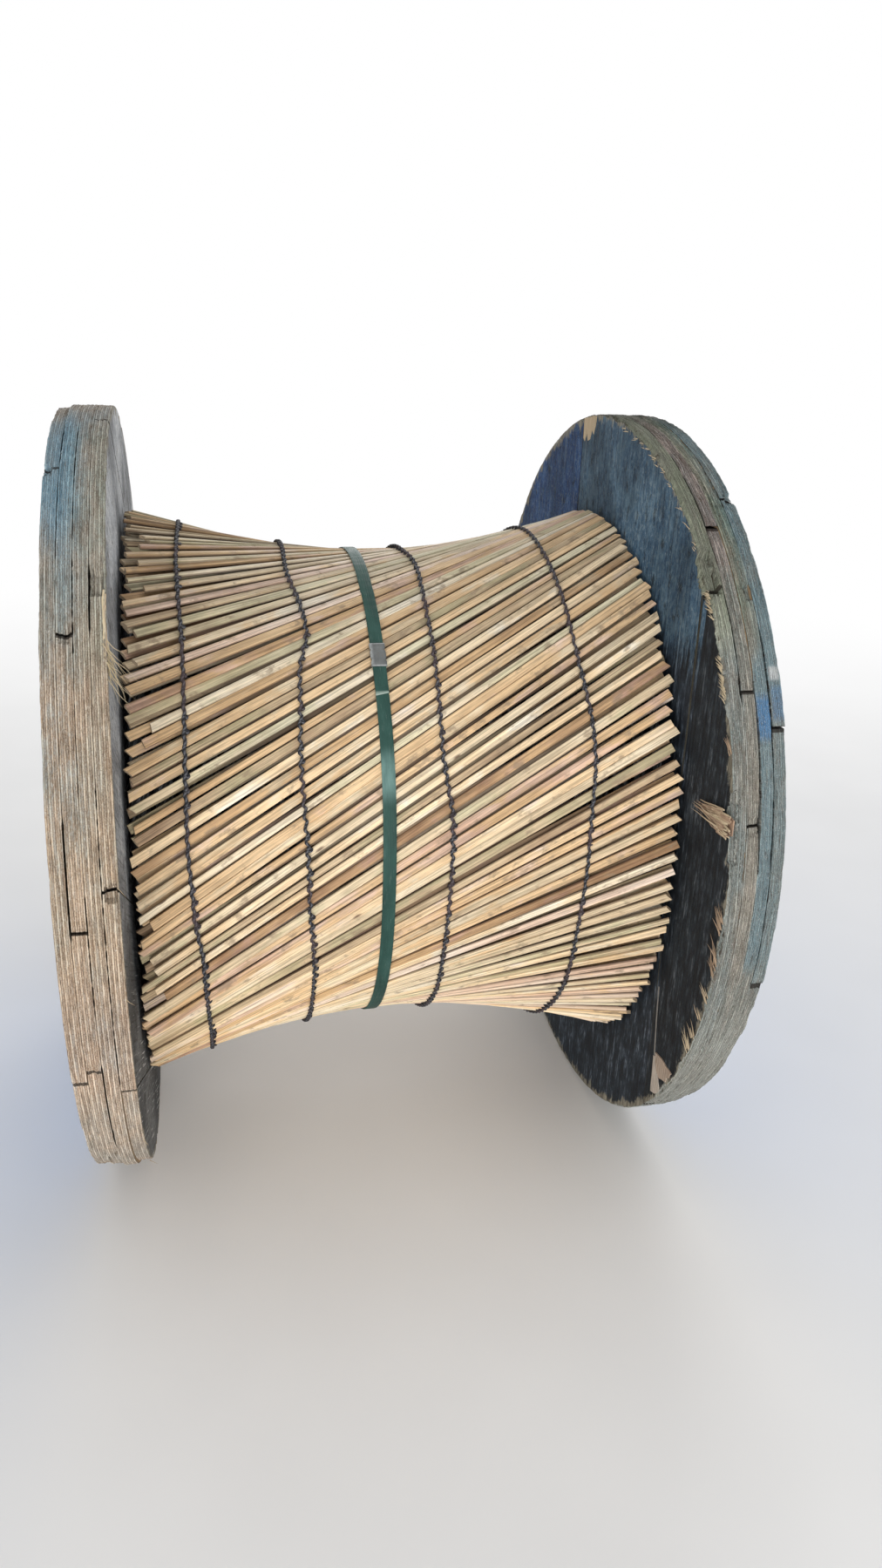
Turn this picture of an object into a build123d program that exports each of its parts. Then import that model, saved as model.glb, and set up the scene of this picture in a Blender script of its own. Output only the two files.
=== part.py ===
from build123d import *
import math
import os
import random

# Wooden cable drum, full of conductor and wrapped in a strapped mat of laths.
# X runs along the drum's axis, Z is up, and both rims stand on z = 0.

# Flanges: four plywood layers each, every layer made of butted boards
flange_diameter = 1000.0
traverse = 643.0
layer_thickness = 16.0
layer_count = 4
board_gap = 1.2
spindle_hole_diameter = 80.0

# Seams of each layer, as distances from the axis across the boards, and their lean
crosswise_lean = 0.0
upright_lean = 90.0
left_inner_lean = -32.0
left_inner_seams = (373.0, -182.0, -384.0)
left_second_seams = (-160.0,)
left_third_seams = (321.0, 52.0, -121.0)
left_outer_seams = (455.0, -137.0)
right_inner_seams = (-110.0, 355.0)
right_second_seams = (406.0, 254.0, 118.0)
right_third_seams = (-150.0,)
right_outer_seams = (431.0, 218.0, -83.0)

# Barrel of straight staves, and the rods that draw the flanges onto it
barrel_diameter = 400.0
stave_count = 16
stave_thickness = 22.0
stave_gap = 0.6
rod_count = 4
rod_circle_diameter = 290.0
rod_diameter = 16.0
rod_hole_clearance = 0.5
rod_hole_sides = 10
rod_end_out = 20.0

# Mat of laths: both layers are straight rulings of a hyperboloid, tight at the waist
lath_count = 140
lath_width = 10.5
lath_thickness = 5.0
waist_radius = 325.0
outer_end_radius = 377.0
inner_end_drop = 13.0
lath_seat = 0.3
shortest_end_gap = 4.0
longest_end_gap = 12.0
ragged_end_gap = 34.0
ragged_share = 0.3
mat_drop = 6.0

# Twine, strap and seal
twine_diameter = 3.0
twine_places = (-252.0, -118.0, 45.0, 213.0)
twine_sides = 48
strap_place = -25.0
strap_width = 16.0
strap_thickness = 0.8
strap_lap_start = 120.5
strap_lap_angle = 19.5
seal_length = 32.0
seal_thickness = 1.2
seal_lip = 1.4
seal_clearance = 0.3
seal_angle = 131.0

# Conductor wound on the barrel
coil_end_clearance = 1.0

flange_radius = flange_diameter / 2
face_x = traverse / 2
outer_x = face_x + layer_count * layer_thickness
mat_height = flange_radius - mat_drop
axis = Plane(origin=(0, 0, flange_radius), x_dir=(0, 1, 0), z_dir=(1, 0, 0))
mat_axis = Plane(origin=(0, 0, mat_height), x_dir=(0, 1, 0), z_dir=(1, 0, 0))
outer_lath_radius = waist_radius - lath_thickness / 2
inner_lath_radius = outer_lath_radius - lath_thickness - lath_seat
inner_end_radius = outer_end_radius - inner_end_drop
coil_radius = inner_lath_radius - lath_thickness / 2 - mat_drop - lath_seat
barrel_corner = barrel_diameter / 2 / math.cos(math.pi / stave_count)


def section_at(x):
    """The plane across the axis at x, with its own X along +Y and its own Y up."""
    return axis.offset(x)


def turned(outer, inner, start, end):
    """A ring or disc around the axis, from one x to another."""
    profile = section_at(start) * Circle(outer)
    if inner:
        profile -= section_at(start) * Circle(inner)
    return extrude(profile, amount=end - start, dir=(1, 0, 0))


def rod_centres():
    """Places of the tie rods on their circle, in the plane across the axis."""
    spots = PolarLocations(rod_circle_diameter / 2, rod_count, start_angle=180 / rod_count)
    return spots.locations


def plywood_layer(start, lean, seams):
    """One layer of a flange: a disc sawn into boards, with the spindle and rod holes."""
    plane = section_at(start)
    disc = plane * Circle(flange_radius)
    disc -= plane * Circle(spindle_hole_diameter / 2)
    drilled = RegularPolygon(rod_diameter / 2 + rod_hole_clearance, rod_hole_sides, major_radius=False)
    for spot in rod_centres():
        disc -= plane * spot * drilled
    for seam in seams:
        cut = Rot(0, 0, lean) * Pos(0, seam) * Rectangle(2 * flange_diameter, board_gap)
        disc -= plane * cut
    return extrude(disc, amount=layer_thickness, dir=(1, 0, 0))


def barrel_staves():
    """Bevelled staves side by side, standing on the inner faces of both flanges."""
    slope = math.tan(math.pi / stave_count)
    top = barrel_diameter / 2
    bottom = top - stave_thickness
    half_top = top * slope - stave_gap / 2
    half_bottom = bottom * slope - stave_gap / 2
    outline = Polygon(
        (bottom, -half_bottom), (top, -half_top), (top, half_top), (bottom, half_bottom),
        align=None,
    )
    staves = []
    for index in range(stave_count):
        turn = Rot(0, 0, 360 * index / stave_count)
        staves.append(extrude(section_at(-face_x) * turn * outline, amount=traverse, dir=(1, 0, 0)))
    return Compound(children=staves)


def tie_rods():
    """Threaded rods through both flanges, shown plain, with ends for washer and nut."""
    reach = outer_x + rod_end_out
    plane = section_at(-reach)
    profile = Circle(rod_diameter / 2)
    rods = [extrude(plane * spot * profile, amount=2 * reach, dir=(1, 0, 0)) for spot in rod_centres()]
    return Compound(children=rods)


def wound_conductor():
    """The wound cable as one turned ring between the barrel and the mat."""
    end = face_x - coil_end_clearance
    return turned(coil_radius, barrel_corner + lath_seat, -end, end)


def ruling(centre_radius, end_radius):
    """Sideways reach of a straight lath over half the traverse, from waist to end."""
    return math.sqrt(end_radius ** 2 - centre_radius ** 2)


def lath(angle, centre_radius, end_radius, left_gap, right_gap):
    """One straight lath, flat against the waist and leaning to both flanges."""
    reach = ruling(centre_radius, end_radius)
    middle_x = (left_gap - right_gap) / 2
    share = middle_x / face_x
    half_run = face_x - (left_gap + right_gap) / 2
    length = 2 * half_run * math.hypot(1, reach / face_x)
    across = math.radians(angle)
    outward = Vector(0, math.cos(across), math.sin(across))
    sideways = Vector(0, math.sin(across), -math.cos(across))
    along = Vector(face_x, 0, 0) + sideways * reach
    middle = Vector(middle_x, 0, mat_height) + outward * centre_radius + sideways * reach * share
    place = Plane(origin=middle, x_dir=along, z_dir=outward)
    return place * Box(length, lath_width, lath_thickness)


def lath_layer(centre_radius, end_radius, ragged, seed):
    """All laths of one turn of the mat, with the uneven ends of cut sticks."""
    chance = random.Random(seed)
    laths = []
    for index in range(lath_count):
        gaps = [chance.uniform(shortest_end_gap, longest_end_gap) for _ in range(2)]
        if chance.random() < ragged:
            gaps[0] = chance.uniform(longest_end_gap, ragged_end_gap)
        laths.append(lath(360 * index / lath_count, centre_radius, end_radius, *gaps))
    return Compound(children=laths)


def mat_skin_radius(x):
    """Radius of the outer laths' outermost edges at x."""
    reach = ruling(outer_lath_radius, outer_end_radius)
    half_width = lath_width / 2 * math.hypot(1, reach / face_x)
    return math.hypot(waist_radius, abs(x) / face_x * reach + half_width)


def twine_row(x):
    """One row of twine around the mat, a plain many-sided ring on the laths' edges."""
    inner = mat_skin_radius(abs(x) + twine_diameter / 2) + lath_seat
    ring = RegularPolygon(inner + twine_diameter, twine_sides, major_radius=False)
    ring -= RegularPolygon(inner, twine_sides, major_radius=False)
    place = mat_axis.offset(x - twine_diameter / 2)
    return extrude(place * ring, amount=twine_diameter, dir=(1, 0, 0))


def strap_inner_radius():
    """The strap lies on the edges of the laths that stand highest under it."""
    return mat_skin_radius(abs(strap_place) + strap_width / 2) + lath_seat


def arc_patch(inner, outer, start, sweep):
    """Flat ring sector between two radii, in the plane across the axis."""
    pie = Circle(outer) - Circle(inner)
    corners = [(0, 0)]
    for step in range(4):
        turn = math.radians(start + sweep * step / 3)
        corners.append((2 * outer * math.cos(turn), 2 * outer * math.sin(turn)))
    return pie & make_face(Polyline(*corners, close=True))


def strap():
    """Plastic strap drawn tight at the waist, its free end lapped over the first turn."""
    inner = strap_inner_radius()
    band = Circle(inner + strap_thickness) - Circle(inner)
    band += arc_patch(inner, inner + 2 * strap_thickness, strap_lap_start, strap_lap_angle)
    place = mat_axis.offset(strap_place - strap_width / 2)
    return extrude(place * band, amount=strap_width, dir=(1, 0, 0))


def seal():
    """Crimped steel seal: a cover over the lapped strap with both edges folded down."""
    under = strap_inner_radius() + 2 * strap_thickness + seal_clearance
    sweep = math.degrees(seal_length / under)
    start = seal_angle - sweep / 2
    half = strap_width / 2 + seal_clearance
    cover = arc_patch(under, under + seal_thickness, start, sweep)
    skirt = arc_patch(under - seal_lip, under + seal_thickness, start, sweep)
    edges = (strap_place - half - seal_thickness, strap_place + half)
    top = extrude(mat_axis.offset(strap_place - half) * cover, amount=2 * half, dir=(1, 0, 0))
    left = extrude(mat_axis.offset(edges[0]) * skirt, amount=seal_thickness, dir=(1, 0, 0))
    right = extrude(mat_axis.offset(edges[1]) * skirt, amount=seal_thickness, dir=(1, 0, 0))
    return top + left + right


def flange_layers():
    """Every plywood layer by name, counted from the inner face outwards."""
    layout = {
        "left": [(left_inner_lean, left_inner_seams), (upright_lean, left_second_seams),
                 (crosswise_lean, left_third_seams), (crosswise_lean, left_outer_seams)],
        "right": [(upright_lean, right_inner_seams), (crosswise_lean, right_second_seams),
                  (upright_lean, right_third_seams), (crosswise_lean, right_outer_seams)],
    }
    layers = {}
    for side, rows in layout.items():
        for index, (lean, seams) in enumerate(rows):
            start = face_x + index * layer_thickness
            if side == "left":
                start = -start - layer_thickness
            layers[f"{side}_flange_layer_{index + 1}"] = plywood_layer(start, lean, seams)
    return layers


parts = flange_layers()
parts["barrel_staves"] = barrel_staves()
parts["tie_rods"] = tie_rods()
parts["wound_conductor"] = wound_conductor()
parts["mat_outer_laths"] = lath_layer(outer_lath_radius, outer_end_radius, ragged_share, 5)
parts["mat_inner_laths"] = lath_layer(inner_lath_radius, inner_end_radius, 0, 9)
for number, place in enumerate(twine_places, 1):
    parts[f"twine_row_{number}"] = twine_row(place)
parts["strap"] = strap()
parts["strap_seal"] = seal()

os.makedirs("parts", exist_ok=True)
for name, shape in parts.items():
    export_step(shape, f"parts/{name}.step")
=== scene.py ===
import math
import random

import bmesh
import bpy
import numpy as np
from mathutils import Matrix, Vector, noise


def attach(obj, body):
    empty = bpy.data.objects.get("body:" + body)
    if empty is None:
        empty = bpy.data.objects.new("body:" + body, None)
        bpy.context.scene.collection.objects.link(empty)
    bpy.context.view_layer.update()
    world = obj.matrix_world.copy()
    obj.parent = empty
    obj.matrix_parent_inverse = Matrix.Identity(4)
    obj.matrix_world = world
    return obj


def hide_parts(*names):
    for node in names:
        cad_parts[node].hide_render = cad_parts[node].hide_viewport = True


# Wooden cable drum. X runs along the axis, Z is up, the photographed side faces -Y.
# Angles round the drum are in degrees in the Y-Z plane: 90 is the top, 180 the front.
# Lengths are in metres.

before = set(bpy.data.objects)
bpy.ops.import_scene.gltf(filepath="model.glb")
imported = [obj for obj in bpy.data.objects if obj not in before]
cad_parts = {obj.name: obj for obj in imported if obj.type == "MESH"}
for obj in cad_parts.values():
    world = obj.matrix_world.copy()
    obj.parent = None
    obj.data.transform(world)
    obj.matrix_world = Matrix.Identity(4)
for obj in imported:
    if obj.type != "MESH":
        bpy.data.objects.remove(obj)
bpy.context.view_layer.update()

# Flanges
RIM = 0.5
FACE = 0.3215
PLY = 0.016
LAYER_COUNT = 4
PLIES = 7
PLY_PITCH = PLY / PLIES
AXIS_Z = 0.5
BORE = 0.04
BORE_SIDES = 48
SEAM_Y = 0.110
DARK_BOARD_Y = -0.355
SEAM_GAP = 0.0012

# Rims: how finely they are drawn, how deep cracks are, and the painted shade in cracks and joints
RIM_STEP = 0.25
JOINT_EDGE = 0.10
JOINT_FADE = 0.04
JOINT_SHADE = 0.85
SHADOW_REACH = 165.0
EDGE_SHARE = 0.02
VENEER = 0.0011
CRACK_OPEN = 0.0004
CRACK_DEPTH = 0.012
SHUT_DEPTH = 0.0012
STEADY_CRACK = 0.0022

# Tie rods
ROD_CIRCLE = 0.145
ROD_RADIUS = 0.008
ROD_OUT = 0.020
ROD_TURNS = (45, 135, 225, 315)
ROD_SIDES = 36
THREAD_START = 0.0155
THREAD_STEP = 0.0005
THREAD_STEPS = 9
THREAD_DEPTH = 0.0007

# Conductor
WIRE_PITCH = 0.026

# Mat of laths
MAT_Z = AXIS_Z - 0.006
LATHS = 140
LATH_STEPS = 22
LATH_WIDTH = 0.0105
LATH_WIDTHS = (0.74, 0.84, 0.92, 0.98, 1.02, 1.06)
DARK_LATHS = 0.05
LATH_THICK = 0.005
LATH_JITTER = 0.42
LATH_SEAT = 0.0003
LATH_BEVEL = 0.0009
WAIST = 0.325
END_RADIUS = 0.377
END_DROP = 0.013
SURFACE_TWIST = math.radians(31)
OUTER_LATH = WAIST - LATH_THICK / 2
INNER_LATH = OUTER_LATH - LATH_THICK - LATH_SEAT

# Strap and seal
STRAP_X = -0.025
STRAP_WIDTH = 0.016
STRAP_THICK = 0.0008
LAP_START = 120.5
LAP_END = 140.0
LAP_BACK = 9
LAP_STEP = 0.75
SEAL_START = 128.2
SEAL_END = 133.8
SEAL_STEPS = 40
SEAL_THICK = 0.0011
SEAL_LIP = 0.0015

# Heights from and to which the strap's shine comes and goes
SHEEN_LOW = (0.585, 0.612)
SHEEN_HIGH = (0.655, 0.628)

# Floor
FLOOR_END = 30.0
FLOOR_NEAR = 4.0
FLOOR_DROP = 0.0006


# General helpers

def smooth(low, high, value):
    """0 below low, 1 above high, smooth between."""
    share = min(1.0, max(0.0, (value - low) / (high - low)))
    return share * share * (3 - 2 * share)


def window(start, end, soft, value):
    """1 between start and end, fading to 0 over soft at both ends."""
    return smooth(start - soft, start, value) * (1 - smooth(end, end + soft, value))


def wave(x, y=0.0, z=0.0):
    """Smooth noise, about -1 to 1."""
    return noise.noise(Vector((x, y, z)))


def rough(x, y=0.0, z=0.0, octaves=4):
    """Layered noise, about -1 to 1."""
    return noise.fractal(Vector((x, y, z)), 0.8, 2.1, octaves)


def polar(angle, radius, centre=AXIS_Z):
    """Y and Z of a point at that angle and radius round the axis."""
    turn = math.radians(angle)
    return radius * math.cos(turn), centre + radius * math.sin(turn)


def around(x, angle, radius, centre=AXIS_Z):
    """The point at x, an angle and a radius."""
    return Vector((x, *polar(angle, radius, centre)))


def add_object(name, data):
    """A new object in the scene."""
    obj = bpy.data.objects.new(name, data)
    bpy.context.scene.collection.objects.link(obj)
    return obj


class Builder:
    """Collects vertices, faces, map coordinates and named values of one piece."""

    def __init__(self):
        self.points = []
        self.faces = []
        self.values = {}
        self.maps = []
        self.slots = []

    def point(self, xyz, uv=(0.0, 0.0), **values):
        """Adds a vertex and gives its index."""
        index = len(self.points)
        self.points.append(tuple(xyz))
        self.maps.append(uv)
        for name, value in values.items():
            self.values.setdefault(name, {})[index] = value
        return index

    def face(self, corners, slot=0):
        self.faces.append(tuple(corners))
        self.slots.append(slot)

    def strip(self, rows, closed=False):
        """Quads between neighbouring rows of point indices."""
        for first, second in zip(rows, rows[1:]):
            count = len(first)
            for step in range(count if closed else count - 1):
                after = (step + 1) % count
                self.face((first[step], first[after], second[after], second[step]))

    def solid(self, rings):
        """A closed body through rings of point indices."""
        self.strip(rings, closed=True)
        self.face(rings[0][::-1])
        self.face(rings[-1])

    def mesh(self, name, materials, smooth_angle=40):
        """The finished object, smooth up to an angle between its faces."""
        data = bpy.data.meshes.new(name)
        data.from_pydata(self.points, [], self.faces)
        for material in materials:
            data.materials.append(material)
        data.polygons.foreach_set("material_index", self.slots)
        for key, found in self.values.items():
            layer = data.attributes.new(key, "FLOAT", "POINT")
            full = np.zeros(len(self.points), np.float32)
            for index, value in found.items():
                full[index] = value
            layer.data.foreach_set("value", full)
        uv = data.uv_layers.new(name="UVMap")
        loops = np.zeros(len(data.loops), np.int32)
        data.loops.foreach_get("vertex_index", loops)
        uv.data.foreach_set("uv", np.array(self.maps, np.float32)[loops].ravel())
        data.polygons.foreach_set("use_smooth", [True] * len(data.polygons))
        data.set_sharp_from_angle(angle=math.radians(smooth_angle))
        data.validate()
        return add_object(name, data)


def finish_piece(obj, slot, *nodes):
    """Ties a piece to the drum's body and hides its CAD nodes; the slot is not used."""
    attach(obj, "root")
    if nodes:
        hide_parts(*nodes)


# Node helpers for the materials

def rgba(colour):
    """A colour with its alpha; a node's output stays as it is."""
    return (*colour, 1.0) if isinstance(colour, tuple) else colour


class Term:
    """One output of a node. Sums with it add nodes to its tree."""

    def __init__(self, nodes, socket):
        self.nodes = nodes
        self.socket = socket

    def math(self, operation, other=0.0):
        return self.nodes.output("ShaderNodeMath", "Value", {0: self, 1: other},
                                 operation=operation)

    def __add__(self, other):
        return self.math("ADD", other)

    def __sub__(self, other):
        return self.math("SUBTRACT", other)

    def __mul__(self, other):
        return self.math("MULTIPLY", other)

    def rest(self):
        """1 less this."""
        return self.nodes.output("ShaderNodeMath", "Value", {0: 1.0, 1: self},
                                 operation="SUBTRACT")

    def fade(self, low, high, start=0.0, end=1.0):
        """start at low and before, end at high and beyond, smooth between."""
        limits = {"Value": self, "From Min": low, "From Max": high, "To Min": start, "To Max": end}
        return self.nodes.output("ShaderNodeMapRange", "Result", limits,
                                 interpolation_type="SMOOTHSTEP")

    def ramp(self, *stops):
        """Colours between stops, each a place and a colour."""
        made = self.nodes.node("ShaderNodeValToRGB", {"Fac": self})
        elements = made.color_ramp.elements
        while len(elements) < len(stops):
            elements.new(0.5)
        for element, (place, colour) in zip(elements, stops):
            element.position = place
            element.color = rgba(colour)
        return Term(self.nodes, made.outputs["Color"])


class Nodes:
    """A node tree with short calls for its nodes."""

    def __init__(self, tree):
        self.tree = tree

    def put(self, socket, value):
        if isinstance(value, Term):
            self.tree.links.new(value.socket, socket)
        else:
            socket.default_value = value

    def node(self, kind, inputs=None, **settings):
        made = self.tree.nodes.new(kind)
        for key, value in settings.items():
            setattr(made, key, value)
        for key, value in (inputs or {}).items():
            self.put(made.inputs[key], value)
        return made

    def output(self, kind, name, inputs=None, **settings):
        return Term(self, self.node(kind, inputs, **settings).outputs[name])

    def seen(self):
        """1 for rays that show something to the camera, 0 for those that only light."""
        camera, glossy, clear = (self.output("ShaderNodeLightPath", f"Is {kind} Ray")
                                 for kind in ("Camera", "Glossy", "Transmission"))
        return camera.math("MAXIMUM", glossy).math("MAXIMUM", clear)

    def value(self, name):
        return self.output("ShaderNodeAttribute", "Fac", attribute_name=name)

    def place(self, kind="Object"):
        return self.output("ShaderNodeTexCoord", kind)

    def axes(self, vector):
        made = self.node("ShaderNodeSeparateXYZ", {"Vector": vector})
        return [Term(self, socket) for socket in made.outputs]

    def combine(self, x, y, z):
        return self.output("ShaderNodeCombineXYZ", "Vector", {0: x, 1: y, 2: z})

    def stretch(self, vector, scale, shift=(0, 0, 0)):
        """The vector scaled by two or three numbers, and moved."""
        inputs = {"Vector": vector, "Scale": (*scale, 1)[:3], "Location": shift}
        return self.output("ShaderNodeMapping", "Vector", inputs)

    def noise(self, vector, scale, detail=4.0, roughness=0.55, distortion=0.0):
        inputs = {"Vector": vector, "Scale": scale, "Detail": detail, "Roughness": roughness,
                  "Distortion": distortion}
        return self.output("ShaderNodeTexNoise", "Fac", inputs)

    def grain(self, vector, scale, detail=4.0, roughness=0.55, distortion=0.0, shift=(0, 0, 0)):
        """Noise drawn out along an axis."""
        return self.noise(self.stretch(vector, scale, shift), 1.0, detail, roughness, distortion)

    def cells(self, vector, scale):
        inputs = {"Vector": self.stretch(vector, scale), "Scale": 1.0}
        return self.output("ShaderNodeTexVoronoi", "Distance", inputs)

    def bands(self, vector, scale, distortion, detail, direction):
        inputs = {"Vector": vector, "Scale": scale, "Distortion": distortion, "Detail": detail}
        return self.output("ShaderNodeTexWave", "Fac", inputs, bands_direction=direction)

    def mix(self, share, first, second, blend="MIX"):
        inputs = {"Factor": share, "A": rgba(first), "B": rgba(second)}
        return self.output("ShaderNodeMix", "Result", inputs, data_type="RGBA", blend_type=blend)


class Shader(Nodes):
    """A material whose colour is laid on step by step."""

    def __init__(self, name):
        self.material = bpy.data.materials.new(name)
        self.material.use_nodes = True
        super().__init__(self.material.node_tree)
        self.surface = self.tree.nodes["Principled BSDF"]
        self.colour = None

    def over(self, share, colour):
        """Lays a colour over what is there."""
        self.colour = self.mix(share, self.colour, colour)

    def tint(self, share, colour):
        """Multiplies what is there by a colour."""
        self.colour = self.mix(share, self.colour, colour, "MULTIPLY")

    def shade(self, value):
        """Multiplies what is there by one number."""
        self.tint(1.0, self.combine(value, value, value))

    def bump(self, height, strength, distance):
        inputs = {"Height": height, "Strength": strength, "Distance": distance}
        return self.output("ShaderNodeBump", "Normal", inputs)

    def finish(self, roughness, normal=None, specular=None, metallic=None):
        inputs = {"Base Color": self.colour, "Roughness": roughness, "Normal": normal,
                  "Specular IOR Level": specular, "Metallic": metallic}
        for name, value in inputs.items():
            if value is not None:
                self.put(self.surface.inputs[name], value)
        return self.material


# Material of the rims

PALE_PATCH = (0.60, 0.54, 0.45)
DARK_PATCH = (0.145, 0.105, 0.08)
FRESH_BLUE = (0.024, 0.17, 0.39)
PALE_WOOD = ((0.38, (0.19, 0.20, 0.18)), (0.5, (0.34, 0.355, 0.32)), (0.62, (0.50, 0.515, 0.47)))
SCUFFED = (0.58, 0.60, 0.60)
GLUE_TINT = (0.42, 0.39, 0.36)
ROUGH_PLY_TINT = (0.34, 0.26, 0.20)
DARK_PLY_TINT = (0.66, 0.64, 0.66)
LIGHT_PLY_TINT = (1.22, 1.21, 1.20)
CHECK_DARK = (0.055, 0.038, 0.028)
GRIT_DARK = (0.085, 0.065, 0.05)
GRIT_PALE = (0.64, 0.63, 0.57)
FIBRE_PALE = (0.68, 0.63, 0.55)
OLIVE_TINT = (0.97, 1.04, 0.82)
MAUVE_TINT = (1.05, 0.96, 1.02)
# Painted shade and painted light on the rims
PAINTED_SHADE_TINT = (0.30, 0.31, 0.26)
PAINTED_LIGHT_TINT = (1.7, 1.65, 1.6)
# Painted shade in cracks and joints
CRACK_SHADE = (0.018, 0.013, 0.010)


def rim_plies(s, place, cloud, streak, patch):
    """Dark glue lines between the plies, and every other ply darker."""
    depth = s.axes(place)[1].math("ABSOLUTE") - FACE
    drift = (cloud - 0.5) * 0.5
    glue = (depth * (1 / PLY_PITCH) + drift).math("PINGPONG", 0.5)
    s.tint(glue.fade(0.20, 0.04) * streak.fade(0.36, 0.54, 0.25, 0.95), GLUE_TINT)
    across = depth.math("MODULO", PLY) * (1 / PLY_PITCH) - 0.5 + drift
    end_grain = across.math("PINGPONG", 1.0).fade(0.30, 0.70)
    clear = patch.fade(0.42, 0.58, 0.08, 0.62)
    s.tint(end_grain * clear, DARK_PLY_TINT)
    s.tint(end_grain.rest() * clear, LIGHT_PLY_TINT)


def rim_material(side, warm_stops, grey_stops, paint_stops):
    """Weathered plywood edge: fine plies, grit and remains of blue paint."""
    s = Shader(f"{side}_rim_wood")
    place = s.place("UV")
    streak = s.grain(place, (16, 900), 5.0, 0.62, 0.1)
    fine = s.grain(place, (190, 1500), 4.0, 0.7)
    grit = s.grain(place, (520, 1000), 3.0, 0.8)
    cloud = s.grain(place, (9, 34), 6.0, 0.65)
    patch = s.grain(place, (26, 210), 5.0, 0.7)
    grain = streak * 0.55 + fine * 0.45
    greyness = s.value("grey") + cloud.fade(0.35, 0.65, -0.3, 0.3)
    s.colour = s.mix(greyness, grain.ramp(*warm_stops), grain.ramp(*grey_stops))
    s.tint(s.value("ply") * cloud.fade(0.3, 0.6, 0.35, 0.75), ROUGH_PLY_TINT)
    s.over(patch.fade(0.50, 0.60, 0.0, 0.45), PALE_PATCH)
    s.over(patch.fade(0.47, 0.38, 0.0, 0.55), DARK_PATCH)
    paint = s.grain(place, (60, 420), 6.0, 0.75).ramp(*paint_stops)
    worn = s.value("blue") + (cloud - 0.5) + (fine - 0.5) * 1.6 + (patch - 0.5) * 0.9
    s.over(worn.fade(0.05, 1.05, 0.0, 0.9), paint)
    s.over(s.value("bright") * fine.fade(0.36, 0.50, 0.25, 0.95), FRESH_BLUE)
    s.over(s.value("pale") * cloud.fade(0.35, 0.6, 0.55, 0.95), grain.ramp(*PALE_WOOD))
    s.over(s.value("scuff") * grit.fade(0.40, 0.52, 0.35, 0.95), SCUFFED)
    rim_plies(s, place, cloud, streak, patch)
    check = s.grain(place, (46, 1250), 3.0, 0.6)
    s.over(check.fade(0.585, 0.64, 0.0, 0.8), CHECK_DARK)
    s.over(grit.fade(0.54, 0.66, 0.0, 0.8), GRIT_DARK)
    s.over(fine.fade(0.57, 0.69, 0.0, 0.6), FIBRE_PALE)
    s.over(grit.fade(0.42, 0.34, 0.0, 0.5), GRIT_PALE)
    s.tint(s.value("olive") * cloud.fade(0.36, 0.60, 0.35, 1.0), OLIVE_TINT)
    s.tint(s.value("mauve"), MAUVE_TINT)
    # Painted shade where this value is above 0, painted light where it is below
    s.tint(s.value("painted_shading").math("MAXIMUM", 0.0), PAINTED_SHADE_TINT)
    s.tint(s.value("painted_shading") * -1.0, PAINTED_LIGHT_TINT)
    # Painted shade in cracks, along joints and under boards that stand back
    s.over(s.value("deep"), CRACK_SHADE)
    normal = s.bump(grain * 0.8 + grit * 0.8, 1.0, 0.0014)
    return s.finish(streak.fade(0.2, 0.8, 0.95, 0.78), normal, specular=0.2)


# Material of the faces

NAIL_MARKS = (
    (-0.149, 0.950, 0.004), (-0.258, 0.899, 0.005), (-0.073, 0.863, 0.005),
    (0.150, 0.905, 0.004), (0.290, 0.760, 0.004), (-0.395, 0.640, 0.004), (-0.410, 0.420, 0.004),
)
NAIL_RUST = (0.02, 0.017, 0.015)
# Painted shade on the lower part of the right inner face
PAINTED_SHADE_STOPS = ((0.40, (0.004, 0.004, 0.005)), (0.51, (0.0135, 0.016, 0.019)),
        (0.58, (0.034, 0.040, 0.047)), (0.68, (0.13, 0.145, 0.16)))
THIN_SHADE_TINT = (1.45, 1.55, 1.70)
# Painted shade on the lower part of a face
LOW_SHADE_TINT = (0.22, 0.22, 0.21)
TIRED_BLUE = (0.055, 0.255, 0.62)
DENT_DARK = (0.045, 0.06, 0.085)
FLAKED_WOOD = (0.36, 0.33, 0.28)
SCRATCH_PALE = (0.42, 0.52, 0.64)
BARE_WOOD = ((0.38, (0.12, 0.105, 0.08)), (0.5, (0.24, 0.22, 0.17)), (0.62, (0.38, 0.35, 0.27)))


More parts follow.
